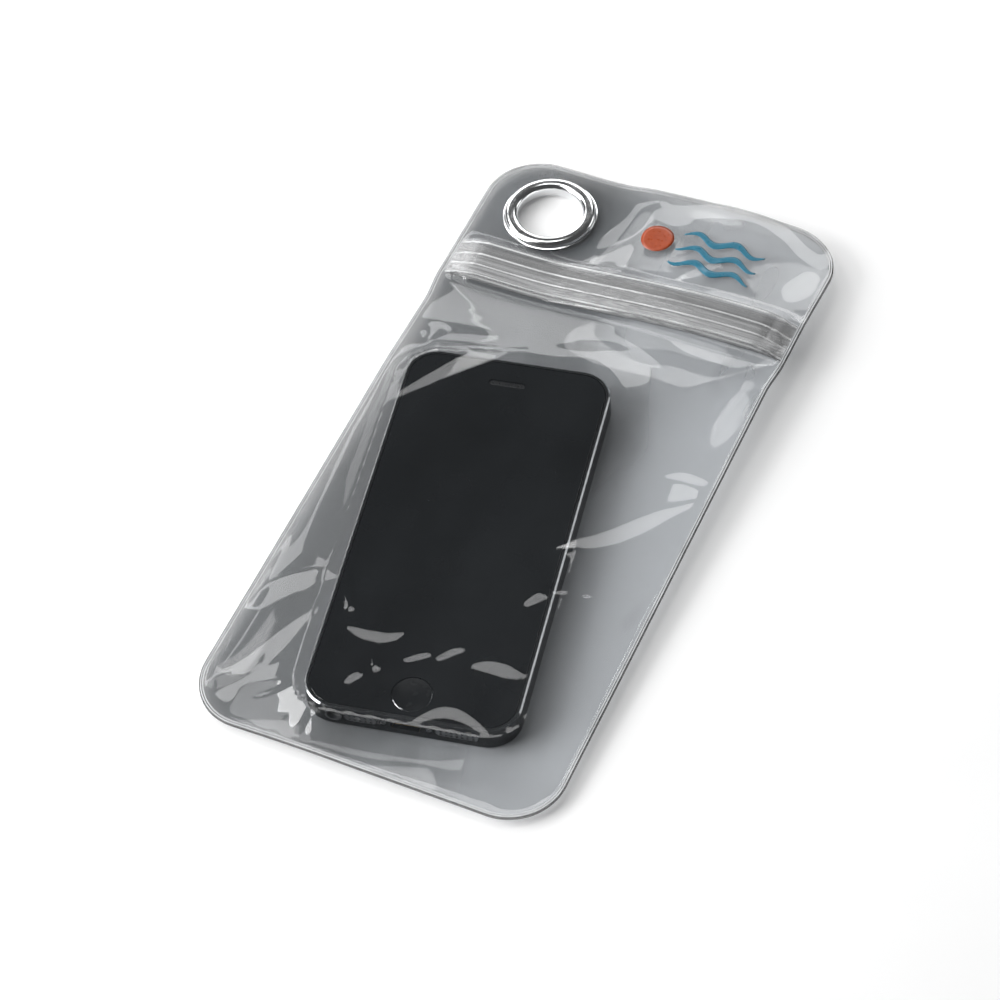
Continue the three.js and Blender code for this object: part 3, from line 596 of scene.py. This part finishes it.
def mark_weld(obj):
    """Gives each face of a sheet its place in the sheet's list of materials."""
    mesh = obj.data
    centres = np.zeros(len(mesh.polygons) * 3)
    mesh.polygons.foreach_get("center", centres)
    centres = centres.reshape(-1, 3) / MM
    away = edge_distance(centres[:, 0], centres[:, 1])
    lines = sum((away > start) & (away < end) for start, end in WELD_LINES) > 0
    zipped = (past_zip(centres[:, 1]) <= 0) & (away > WELD_WIDTH)
    crushed = zipped & (away < CRUSHED_REACH)
    places = [away < WELD_LINES[0][0], lines, away < WELD_WIDTH, crushed, zipped]
    kinds = np.select(places, [WELD_RIM_SHADE, MILKY_WELD_HIGHLIGHT, WELD_GAP_SHADE, CRUSHED_FILM, ZIP_FILM], PLAIN_FILM)
    mesh.polygons.foreach_set("material_index", kinds.astype(np.int32))


# Materials

# Span along X over which the back film is painted lighter to the right: painted light for the handset's
# shadow
PAINTED_FILL_SPAN = (-25, 30)


class Surface:
    """A Principled material with helpers for the nodes that vary it."""

    def __init__(self, name, **values):
        self.material = bpy.data.materials.new(name)
        self.material.use_nodes = True
        self.nodes = self.material.node_tree.nodes
        self.links = self.material.node_tree.links
        self.shader = self.nodes["Principled BSDF"]
        place = self.nodes.new("ShaderNodeTexCoord")
        self.place = place.outputs["Object"]
        for key, value in values.items():
            self.shader.inputs[key.replace("_", " ")].default_value = value

    def noise(self, size, detail=3.0, stretch=(1, 1, 1)):
        """Noise whose features are about size millimetres across."""
        mapping = self.nodes.new("ShaderNodeMapping")
        mapping.inputs["Scale"].default_value = stretch
        self.links.new(self.place, mapping.inputs["Vector"])
        noise = self.nodes.new("ShaderNodeTexNoise")
        noise.inputs["Scale"].default_value = 1 / (size * MM)
        noise.inputs["Detail"].default_value = detail
        self.links.new(mapping.outputs["Vector"], noise.inputs["Vector"])
        return noise.outputs["Fac"]

    def across(self, start, end):
        """0 to 1 from start to end along X, in millimetres."""
        axes = self.nodes.new("ShaderNodeSeparateXYZ")
        self.links.new(self.place, axes.inputs[0])
        return self.span(axes.outputs["X"], 0, 1, start * MM, end * MM)

    def plus(self, first, second, share):
        """The first value plus a share of the second."""
        total = self.nodes.new("ShaderNodeMath")
        total.operation = "MULTIPLY_ADD"
        self.links.new(second, total.inputs[0])
        total.inputs[1].default_value = share
        self.links.new(first, total.inputs[2])
        return total.outputs[0]

    def ramp(self, value, *stops):
        """Colours at places from 0 to 1 along value."""
        ramp = self.nodes.new("ShaderNodeValToRGB")
        elements = ramp.color_ramp.elements
        while len(elements) < len(stops):
            elements.new(0.5)
        for element, (place, colour) in zip(elements, stops):
            element.position = place
            element.color = (*colour, 1)
        self.links.new(value, ramp.inputs["Fac"])
        return ramp.outputs["Color"]

    def span(self, value, low, high, start=0.3, end=0.7):
        """Maps value from start..end to low..high."""
        span = self.nodes.new("ShaderNodeMapRange")
        for key, number in (("From Min", start), ("From Max", end), ("To Min", low), ("To Max", high)):
            span.inputs[key].default_value = number
        self.links.new(value, span.inputs["Value"])
        return span.outputs["Result"]

    def colour(self, value, *stops):
        self.links.new(self.ramp(value, *stops), self.shader.inputs["Base Color"])

    def roughness(self, value, low, high):
        self.links.new(self.span(value, low, high), self.shader.inputs["Roughness"])

    def bump(self, value, depth):
        """Raises the surface by depth millimetres where value is 1."""
        bump = self.nodes.new("ShaderNodeBump")
        bump.inputs["Strength"].default_value = 1.0
        bump.inputs["Distance"].default_value = depth * MM
        self.links.new(value, bump.inputs["Height"])
        self.links.new(bump.outputs["Normal"], self.shader.inputs["Normal"])


def grey(level, tint=0.0):
    """A grey, cooler where tint is above 0."""
    return (level * (1 - tint), level, level * (1 + tint))


def varied(name, shades, shade_grain, rough, rough_grain, depth, bump_grain, **values):
    """A material whose colour, roughness and height each vary over noise with a grain of its own.

    A grain is the noise's size in millimetres, then its detail and its stretch where they are given.
    """
    surface = Surface(name, **values)
    surface.colour(surface.noise(*shade_grain), (0.3, shades[0]), (0.7, shades[1]))
    surface.roughness(surface.noise(*rough_grain), *rough)
    surface.bump(surface.noise(*bump_grain), depth)
    return surface.material


def film_material(name, alpha, level, bright, painted_fill=0.0):
    """Clear film with faint streaks, lifted to the right by the share given: painted light for the
    handset's shadow.
    """
    film = Surface(name, Alpha=alpha, IOR=1.8, Specular_IOR_Level=1.0)
    streaks = film.noise(26, 2.0, (1, 0.4, 1))
    film.colour(film.plus(streaks, film.across(*PAINTED_FILL_SPAN), painted_fill), (0.35, grey(level * 0.75, 0.1)),
                (0.65, grey(level * 1.25, 0.1)), (0.95, grey(bright, 0.05)))
    film.roughness(film.noise(9), 0.015, 0.04)
    film.bump(film.noise(9.0, 0.0), 0.006)
    return film.material


def weld_material(name, alpha, level):
    shades = (grey(level * 0.75, 0.02), grey(level, 0.02))
    return varied(name, shades, shade_grain=(5,), rough=(0.05, 0.12), rough_grain=(6,), depth=0.006,
                  bump_grain=(3.0, 1.0), Alpha=alpha, IOR=1.6, Specular_IOR_Level=1.0)


def grille_material(name, level):
    shades = (grey(level * 0.7, 0.03), grey(level, 0.03))
    return varied(name, shades, shade_grain=(0.4,), rough=(0.45, 0.6), rough_grain=(0.6,), depth=0.003,
                  bump_grain=(0.15,), Metallic=0.9)


def ink_material(name, *shades):
    return varied(name, shades, shade_grain=(1.2, 5.0), rough=(0.25, 0.4), rough_grain=(0.8,),
                  depth=0.004, bump_grain=(0.3,), Alpha=0.93)


def frosted_material(name, alpha, level):
    """Extruded translucent plastic, drawn out in fine lines along its length."""
    frosted = Surface(name, Alpha=alpha, IOR=1.5, Specular_IOR_Level=0.8)
    drawn = frosted.noise(0.6, 2.0, (0.012, 1, 1))
    frosted.colour(drawn, (0.35, grey(level * 0.5, 0.01)), (0.6, grey(level, 0.01)))
    frosted.roughness(drawn, 0.14, 0.3)
    frosted.bump(drawn, 0.03)
    return frosted.material


# Eyelet

LATHE_STEPS = 128
BULGE_STEPS = 12
ROLL_STEPS = 9
NECK_STEPS = 7
FLANGE_EDGE = 0.7


def lathe(name, outline, material):
    """A ring turned about the eyelet's axis from a closed outline of radius and height pairs."""
    count = len(outline)
    points = [
        (EYELET_X + radius * math.cos(math.tau * k / LATHE_STEPS),
         EYELET_Y + radius * math.sin(math.tau * k / LATHE_STEPS), z)
        for k in range(LATHE_STEPS)
        for radius, z in outline
    ]
    faces = []
    for k in range(LATHE_STEPS):
        n = (k + 1) % LATHE_STEPS
        for i in range(count):
            j = (i + 1) % count
            faces.append((k * count + i, n * count + i, n * count + j, k * count + j))
    obj = new_object(name, points, faces, [material], PIECE_ANGLE)
    face_outwards(obj.data)
    return obj


def barrel_outline():
    """From the bore up over the rolled flange, down its outside and round the back roll."""
    inner = EYELET_BORE
    outer = inner + BARREL_WALL
    film = EYELET_STACK + EYELET_FILM + EYELET_CLEAR
    middle = (inner + FLANGE_RADIUS - FLANGE_LIP) / 2
    rise = FLANGE_HEIGHT - FLANGE_LIP
    reach = middle - inner - FLANGE_FLAT / 2
    bulge = [
        (reach * (1 - math.cos(turn)), rise * math.sin(turn))
        for turn in np.linspace(0, math.pi / 2, BULGE_STEPS)
    ]
    inside = [(inner + r, film + FLANGE_LIP + z) for r, z in bulge]
    outside = [(FLANGE_RADIUS - FLANGE_LIP - r, film + FLANGE_LIP + z) for r, z in bulge]
    roll = [
        (ROLL_RADIUS - ROLL_HEIGHT / 2 * (1 - math.cos(turn)), ROLL_HEIGHT / 2 * (1 + math.sin(turn)))
        for turn in np.linspace(math.pi / 2, -math.pi / 2, ROLL_STEPS)
    ]
    neck = [
        (inner + ROLL_HEIGHT * (1 - math.sin(turn)), ROLL_HEIGHT * (1 - math.cos(turn)))
        for turn in np.linspace(0, math.pi / 2, NECK_STEPS)
    ]
    return [*inside, *outside[::-1], (FLANGE_RADIUS, film + FLANGE_LIP * FLANGE_EDGE),
            (FLANGE_RADIUS, film), (outer, film), (outer, ROLL_HEIGHT), *roll, *neck]


def washer_outline():
    low = ROLL_HEIGHT + EYELET_CLEAR
    high = low + WASHER_THICKNESS
    edge = WASHER_THICKNESS / 2
    rounded = [
        (WASHER_RADIUS - edge * (1 - math.cos(turn)), low + edge * (1 + math.sin(turn)))
        for turn in np.linspace(math.pi / 2, -math.pi / 2, NECK_STEPS)
    ]
    return [(EYELET_HOLE, low), (EYELET_HOLE, high), *rounded][::-1]


# Press-seal strips

RIB_HEAD = 1.1
RIB_STEM = 0.44
RIB_RISE = 1.25
RIB_HEAD_RISE = 0.42
GROOVE_CLEAR = 0.2
GROOVE_WALL = 0.62
GROOVE_HOOK = 0.3
RAIL_WIDTH = 1.7
RAIL_RISE = 0.6
STRIP_STEP = 0.5
STRIP_END = 51.9
RIDGES = (6.1, 1.6, -2.4, -6.1)
RIDGE_WIDTH = 0.3
RIDGE_RISE = 0.2
CLEAR_BAND = (-4.6, -2.8)
THIN_BAND = (1.9, 5.8)
# Places in the strips' list of materials; the raised lines get a near white painted highlight
FROSTED_STRIP, THIN_STRIP, CLEAR_STRIP, STRIP_LINE_HIGHLIGHT = range(4)
PRESSED_FLAT = 0.02


def zip_middle(x):
    level = np.full_like(x, ZIP_Y)
    return back_level(x, level) + film_space(x, level) / 2


def groove_jaw(side):
    inner = RIB_HEAD / 2 + GROOVE_CLEAR
    outer = inner + GROOVE_WALL
    hook_top = RIB_RISE - RIB_HEAD_RISE - GROOVE_CLEAR - TAPE_FACE
    tip = hook_top - GROOVE_HOOK
    corners = [(inner, TAPE_FACE), (inner, hook_top), (inner - GROOVE_HOOK, hook_top),
               (inner - GROOVE_HOOK, tip + GROOVE_HOOK / 2), (inner, tip), (outer, tip),
               (outer, TAPE_FACE)]
    return [(TRACK_Y + side * y, z) for y, z in corners]


def rail(side):
    half = RAIL_WIDTH / 2
    foot = side * TAPE_FACE
    crest = side * (TAPE_FACE - RAIL_RISE)
    return [(RAIL_Y - half, foot), (RAIL_Y - half / 2, crest), (RAIL_Y + half / 2, crest),
            (RAIL_Y + half, foot)]


def groove_section():
    half = ZIP_HEIGHT / 2
    face = ZIP_THICKNESS / 2
    return [(-half, TAPE_FACE), *rail(1), *groove_jaw(-1)[::-1], *groove_jaw(1),
            (half, TAPE_FACE), (half, face), *tape_lines(face, 1)]


def rib_section():
    half = ZIP_HEIGHT / 2
    face = ZIP_THICKNESS / 2
    foot = -TAPE_FACE
    neck = foot + RIB_RISE - RIB_HEAD_RISE
    rib = [(-RIB_STEM / 2, foot), (-RIB_STEM / 2, neck), (-RIB_HEAD / 2, neck),
           (-RIB_STEM / 2, foot + RIB_RISE), (RIB_STEM / 2, foot + RIB_RISE), (RIB_HEAD / 2, neck),
           (RIB_STEM / 2, neck), (RIB_STEM / 2, foot)]
    placed = [(TRACK_Y + y, z) for y, z in rib]
    return [*tape_lines(-face, -1)[::-1], (half, -face), (half, foot), *placed[::-1],
            *rail(-1)[::-1], (-half, foot)]


def tape_lines(face, side):
    """The outer face of a strip, from its upper edge down, with the raised lines along it."""
    lines = []
    for place in RIDGES:
        lines += [(place + RIDGE_WIDTH, face), (place + RIDGE_WIDTH / 3, face + side * RIDGE_RISE),
                  (place - RIDGE_WIDTH / 3, face + side * RIDGE_RISE), (place - RIDGE_WIDTH, face)]
    return [*lines, (-ZIP_HEIGHT / 2, face)]


def strip_scale(x):
    """Thickness of the strips at x, pressed flat into the side welds."""
    return max(float(zip_space(np.array([x]))[0]) / ZIP_SPACE, PRESSED_FLAT)


def crinkle(x, y):
    """The crushed ends of the strips wrinkle with the film over them."""
    return float(end_wrinkles(np.array([x]), np.array([ZIP_Y + y]))[0])


def strip(name, outline, materials):
    stations = np.linspace(-STRIP_END, STRIP_END, round(2 * STRIP_END / STRIP_STEP) + 1)
    count = len(outline)
    points = []
    for x in stations:
        for y, z in outline:
            place = np.array([x])
            height = zip_middle(place)[0] + z * strip_scale(x) + crinkle(x, y)
            points.append((x, ZIP_Y + y, height))
    faces = []
    for k in range(len(stations) - 1):
        for i in range(count):
            j = (i + 1) % count
            faces.append((k * count + i, k * count + j, (k + 1) * count + j, (k + 1) * count + i))
    faces.append(tuple(reversed(range(count))))
    faces.append(tuple((len(stations) - 1) * count + i for i in range(count)))
    obj = new_object(name, points, faces, materials, PIECE_ANGLE)
    face_outwards(obj.data)
    for face in obj.data.polygons:
        face.material_index = strip_kind(face.center.y / MM - ZIP_Y)
    return obj


def strip_kind(y):
    """The place in the strips' list of materials of a face at that height above their middle line."""
    if min(abs(y - place) for place in RIDGES) < RIDGE_WIDTH:
        return STRIP_LINE_HIGHLIGHT
    if within(y, CLEAR_BAND):
        return CLEAR_STRIP
    return THIN_STRIP if within(y, THIN_BAND) else FROSTED_STRIP


def within(value, limits):
    return limits[0] < value < limits[1]


# Print on the header: three plain waves and a disc

PRINT_X = 13.0
PRINT_Y = 87.0
PRINT_TURN = math.radians(-3)
PRINT_PROUD = 0.03
WAVE_COUNT = 3
WAVE_PITCH = 5.4
WAVE_WIDTH = 2.6
WAVE_LENGTH = 25.0
WAVE_RISE = 1.3
DISC_X = -11.0
DISC_Y = 0.5
DISC_RADIUS = 4.8
WAVE_START = -4.5
WAVE_PERIOD = 12
WAVE_STEPS = 60
WAVE_ROWS = 4
WAVE_TIP = 0.02
DISC_STEPS = 48
DISC_RINGS = 5
INK_SHARE = 0.8


def on_header(u, v):
    """A point of the print on the front film."""
    x = PRINT_X + u * math.cos(PRINT_TURN) - v * math.sin(PRINT_TURN)
    y = PRINT_Y + u * math.sin(PRINT_TURN) + v * math.cos(PRINT_TURN)
    level = front_top(np.array([x]), np.array([y]))[0]
    return (x, y, level + PRINT_PROUD)


def wave_mesh():
    """Three ribbons across the header that thin out to their ends."""
    points, faces = [], []
    for n in range(WAVE_COUNT):
        first = len(points)
        for k in range(WAVE_STEPS + 1):
            share = k / WAVE_STEPS
            u = WAVE_LENGTH * share + WAVE_START
            middle = (n - 1) * WAVE_PITCH + WAVE_RISE * math.sin(math.tau * u / WAVE_PERIOD + n)
            taper = math.sqrt(math.sin(math.pi * min(max(share, WAVE_TIP), 1 - WAVE_TIP)))
            for j in range(WAVE_ROWS + 1):
                points.append(on_header(u, middle + WAVE_WIDTH * taper * (j / WAVE_ROWS - 0.5)))
        for k in range(WAVE_STEPS):
            for j in range(WAVE_ROWS):
                a = first + k * (WAVE_ROWS + 1) + j
                faces.append((a, a + WAVE_ROWS + 1, a + WAVE_ROWS + 2, a + 1))
    return points, faces


def disc_mesh():
    """A round patch of rings about its middle point."""
    points, faces = [on_header(DISC_X, DISC_Y)], []
    for r in range(1, DISC_RINGS + 1):
        for k in range(DISC_STEPS):
            angle = math.tau * k / DISC_STEPS
            radius = DISC_RADIUS * r / DISC_RINGS
            points.append(on_header(DISC_X + radius * math.cos(angle), DISC_Y + radius * math.sin(angle)))
    for k in range(DISC_STEPS):
        n = (k + 1) % DISC_STEPS
        faces.append((0, 1 + k, 1 + n))
        for r in range(DISC_RINGS - 1):
            a, b = 1 + r * DISC_STEPS + k, 1 + r * DISC_STEPS + n
            faces.append((a, a + DISC_STEPS, b + DISC_STEPS, b))
    return points, faces


def print_piece(name, mesh, material):
    obj = new_object(name, *mesh, [material], PRINT_ANGLE)
    thick = obj.modifiers.new("thickness", "SOLIDIFY")
    thick.thickness = PRINT_PROUD * MM * INK_SHARE
    thick.offset = 1.0
    return obj


# Assembly

film_front = film_material("film_front", alpha=0.17, level=0.03, bright=0.05)
# The back film is painted lighter to the right, painted light that fills the handset's shadow on it
film_back = film_material("film_back", alpha=0.36, level=0.22, bright=0.88, painted_fill=0.5)
film_zip = frosted_material("film_zip", alpha=0.12, level=0.6)
film_crushed = frosted_material("film_crushed", alpha=0.16, level=0.95)
# Painted highlight over the milky tone of the weld's pressed lines
milky_weld_highlight = weld_material("milky_weld_highlight", alpha=0.5, level=1.0)
# Painted shade between the weld's lines
weld_gap_shade = weld_material("weld_gap_shade", alpha=0.3, level=0.1)
# Painted shadow along the weld's outer edge
weld_rim_shade = weld_material("weld_rim_shade", alpha=0.6, level=0.02)
strip_looks = [
    frosted_material("strip_frosted", alpha=0.36, level=0.6),
    frosted_material("strip_thin", alpha=0.18, level=0.5),
    frosted_material("strip_clear", alpha=0.08, level=0.4),
    # The strips' raised lines are painted near white: a painted highlight along them
    frosted_material("strip_line_highlight", alpha=0.85, level=0.98),
]
chrome = varied("chrome", shades=(grey(0.84, 0.01), grey(0.9, 0.01)), shade_grain=(6,),
                rough=(0.12, 0.2), rough_grain=(1.2, 6.0), depth=0.0015, bump_grain=(0.5, 4.0),
                Metallic=1.0)
anodised = varied("anodised", shades=(grey(0.022, 0.06), grey(0.04, 0.06)), shade_grain=(0.25, 5.0),
                  rough=(0.32, 0.45), rough_grain=(0.4, 4.0), depth=0.004, bump_grain=(0.12, 3.0),
                  Metallic=0.85)
chamfer = varied("chamfer", shades=(grey(0.5, 0.03), grey(0.62, 0.03)), shade_grain=(2,),
                 rough=(0.12, 0.24), rough_grain=(1, 5.0), depth=0.002, bump_grain=(0.3, 3.0, (1, 0.1, 1)),
                 Metallic=1.0)
black_glass = varied("black_glass", shades=(grey(0.013, 0.1), grey(0.018, 0.1)), shade_grain=(20,),
                     rough=(0.04, 0.12), rough_grain=(12, 5.0), depth=0.004, bump_grain=(16, 1.0),
                     IOR=1.5)
button_black = varied("button_black", shades=(grey(0.008, 0.1), grey(0.012, 0.1)), shade_grain=(3,),
                      rough=(0.2, 0.3), rough_grain=(2,), depth=0.002, bump_grain=(1.5,),
                      Specular_IOR_Level=0.15)
contact = varied("contact", shades=((0.55, 0.38, 0.14), (0.66, 0.47, 0.2)), shade_grain=(0.6,),
                 rough=(0.22, 0.38), rough_grain=(0.5,), depth=0.002, bump_grain=(0.2,), Metallic=1.0)
lens = varied("lens", shades=((0.004, 0.005, 0.008), (0.008, 0.008, 0.014)), shade_grain=(1.5,),
              rough=(0.02, 0.06), rough_grain=(2.0,), depth=0.001, bump_grain=(1.0,), IOR=1.7)
flash = varied("flash", shades=((0.6, 0.57, 0.45), (0.75, 0.72, 0.6)), shade_grain=(0.5,),
               rough=(0.12, 0.3), rough_grain=(0.5,), depth=0.01, bump_grain=(0.3,), IOR=1.5)
grille_look = grille_material("grille", 0.24)
earpiece_look = grille_material("earpiece", 0.06)
teal = ink_material("ink_teal", (0.0, 0.12, 0.2), (0.0, 0.16, 0.25))
rust = ink_material("ink_rust", (0.32, 0.05, 0.012), (0.4, 0.07, 0.02))

back_film = film_sheet("back_film", BACK_STEP, back_bottom, back_top,
                       [film_back, milky_weld_highlight, weld_gap_shade, film_back, film_back, weld_rim_shade])
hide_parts("back_sheet")
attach(back_film, "pouch")

front_film = film_sheet("front_film", FRONT_STEP, front_bottom, front_top,
                        [film_front, milky_weld_highlight, weld_gap_shade, film_zip, film_crushed, weld_rim_shade])
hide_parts("front_sheet")
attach(front_film, "pouch")

groove_strip = strip("groove_strip", groove_section(), strip_looks)
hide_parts("zip_groove_strip")
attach(groove_strip, "pouch")

rib_strip = strip("rib_strip", rib_section(), strip_looks)
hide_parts("zip_rib_strip")
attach(rib_strip, "pouch")

barrel = lathe("chrome_barrel", barrel_outline(), chrome)
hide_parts("eyelet_barrel")
washer = lathe("chrome_washer", washer_outline(), chrome)
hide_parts("eyelet_washer")
for ring_piece in (barrel, washer):
    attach(ring_piece, "pouch")

waves = print_piece("print_waves", wave_mesh(), teal)
disc = print_piece("print_disc", disc_mesh(), rust)
for ink in (waves, disc):
    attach(ink, "pouch")

NODE_LOOKS = {
    "handset_chassis": [anodised, chamfer],
    "handset_front_glass": [black_glass],
    "handset_back_cover": [anodised],
    "handset_home_button": [button_black, chamfer],
    "handset_earpiece_mesh": [earpiece_look],
    "handset_volume_up_button": [anodised],
    "handset_volume_down_button": [anodised],
    "handset_power_button": [anodised],
    "handset_left_grille": [grille_look],
    "handset_right_grille": [grille_look],
    "handset_audio_socket": [grille_look],
    "handset_charge_contact": [contact],
    "handset_left_screw": [grille_look],
    "handset_right_screw": [grille_look],
    "handset_rear_lens": [lens],
    "handset_flash_lens": [flash],
}
CHAMFER_LEAN = (0.3, 0.9)


def dress(node, looks):
    mesh = node.data
    mesh.materials.clear()
    for look in looks:
        mesh.materials.append(look)
    soften(mesh, NODE_ANGLE)


def mark_chamfers(mesh):
    """The second material goes on the faces that lean between the sides and the flats."""
    for face in mesh.polygons:
        face.material_index = int(within(abs(face.normal.z), CHAMFER_LEAN))


for node_name, looks in NODE_LOOKS.items():
    dress(frame["nodes"][node_name], looks)
mark_chamfers(frame["nodes"]["handset_chassis"].data)
mark_chamfers(frame["nodes"]["handset_home_button"].data)

# Floor, light and camera

FLOOR_DROP = 0.05
FLOOR_SIZE = 6.0
FLOOR_WHITE = 0.92
FLOOR_LIFT = 0.05


def floor_material():
    floor = Surface("floor", Roughness=0.9, Specular_IOR_Level=0.1)
    floor.colour(floor.noise(40), (0.3, grey(FLOOR_WHITE - 0.01)), (0.7, grey(FLOOR_WHITE + 0.01)))
    nodes, links = floor.nodes, floor.links
    path = nodes.new("ShaderNodeLightPath")
    seen = path.outputs["Is Camera Ray"]
    for kind in ("Is Glossy Ray", "Is Transmission Ray"):
        most = nodes.new("ShaderNodeMath")
        most.operation = "MAXIMUM"
        links.new(seen, most.inputs[0])
        links.new(path.outputs[kind], most.inputs[1])
        seen = most.outputs[0]
    scale = nodes.new("ShaderNodeMath")
    scale.operation = "MULTIPLY"
    scale.inputs[1].default_value = FLOOR_LIFT
    links.new(seen, scale.inputs[0])
    floor.shader.inputs["Emission Color"].default_value = (1, 1, 1, 1)
    links.new(scale.outputs[0], floor.shader.inputs["Emission Strength"])
    return floor.material


def floor():
    half = FLOOR_SIZE / MM / 2
    corners = [(-half, -half, -FLOOR_DROP), (half, -half, -FLOOR_DROP), (half, half, -FLOOR_DROP),
               (-half, half, -FLOOR_DROP)]
    obj = new_object("floor", corners, [(0, 1, 2, 3)], [floor_material()], PIECE_ANGLE)
    return obj


def softbox(name, azimuth, elevation, distance, width, height, radiance):
    """A soft light towards the pouch. Azimuth is anticlockwise from +X as seen from above."""
    turn, rise = math.radians(azimuth), math.radians(elevation)
    way = Vector((math.cos(rise) * math.cos(turn), math.cos(rise) * math.sin(turn), math.sin(rise)))
    light = bpy.data.lights.new(name, "AREA")
    light.shape = "RECTANGLE"
    light.size = width
    light.size_y = height
    light.energy = radiance * math.pi * width * height
    obj = bpy.data.objects.new(name, light)
    obj.location = way * distance
    obj.rotation_euler = way.to_track_quat("Z", "Y").to_euler()
    bpy.context.scene.collection.objects.link(obj)


def world(level):
    scene_world = bpy.data.worlds.new("room")
    scene_world.use_nodes = True
    background = scene_world.node_tree.nodes["Background"]
    background.inputs["Color"].default_value = (*grey(1.0, 0.01), 1)
    background.inputs["Strength"].default_value = level
    bpy.context.scene.world = scene_world


def camera():
    turn, rise, roll = (math.radians(a) for a in (CAMERA_AZIMUTH, CAMERA_ELEVATION, CAMERA_ROLL))
    forward = Vector((-math.sin(turn) * math.cos(rise), math.cos(turn) * math.cos(rise), -math.sin(rise)))
    level = forward.cross(Vector((0, 0, 1))).normalized()
    upright = level.cross(forward)
    right = level * math.cos(roll) + upright * math.sin(roll)
    up = right.cross(forward)
    data = bpy.data.cameras.new("camera")
    data.lens = CAMERA_LENS
    data.sensor_width = 36
    data.clip_end = 20
    obj = bpy.data.objects.new("camera", data)
    place = (Vector(CAMERA_TARGET) - forward * CAMERA_DISTANCE) * MM
    obj.matrix_world = Matrix.Translation(place) @ Matrix((right, up, -forward)).transposed().to_4x4()
    bpy.context.scene.collection.objects.link(obj)
    bpy.context.scene.camera = obj


# Name, azimuth, elevation, distance, width, height and radiance
SOFTBOXES = (
    ("key", 211, 24, 1.6, 1.3, 0.9, 9.5),
    ("high", 208, 52, 1.4, 1.0, 0.8, 2.3),
    ("left", 161, 43, 1.3, 0.42, 0.4, 4.4),
    ("top", 135, 72, 1.2, 0.5, 0.4, 3.8),
    ("back", 104, 25, 1.3, 0.84, 0.62, 3.4),
    ("corner", 135, 23, 1.3, 0.55, 0.5, 3.4),
    ("side", 46, 14, 1.4, 0.6, 0.4, 1.6),
)
ROOM_LIGHT = 0.06

floor()
for values in SOFTBOXES:
    softbox(*values)
world(ROOM_LIGHT)
camera()
bpy.context.scene.view_settings.view_transform = "Standard"
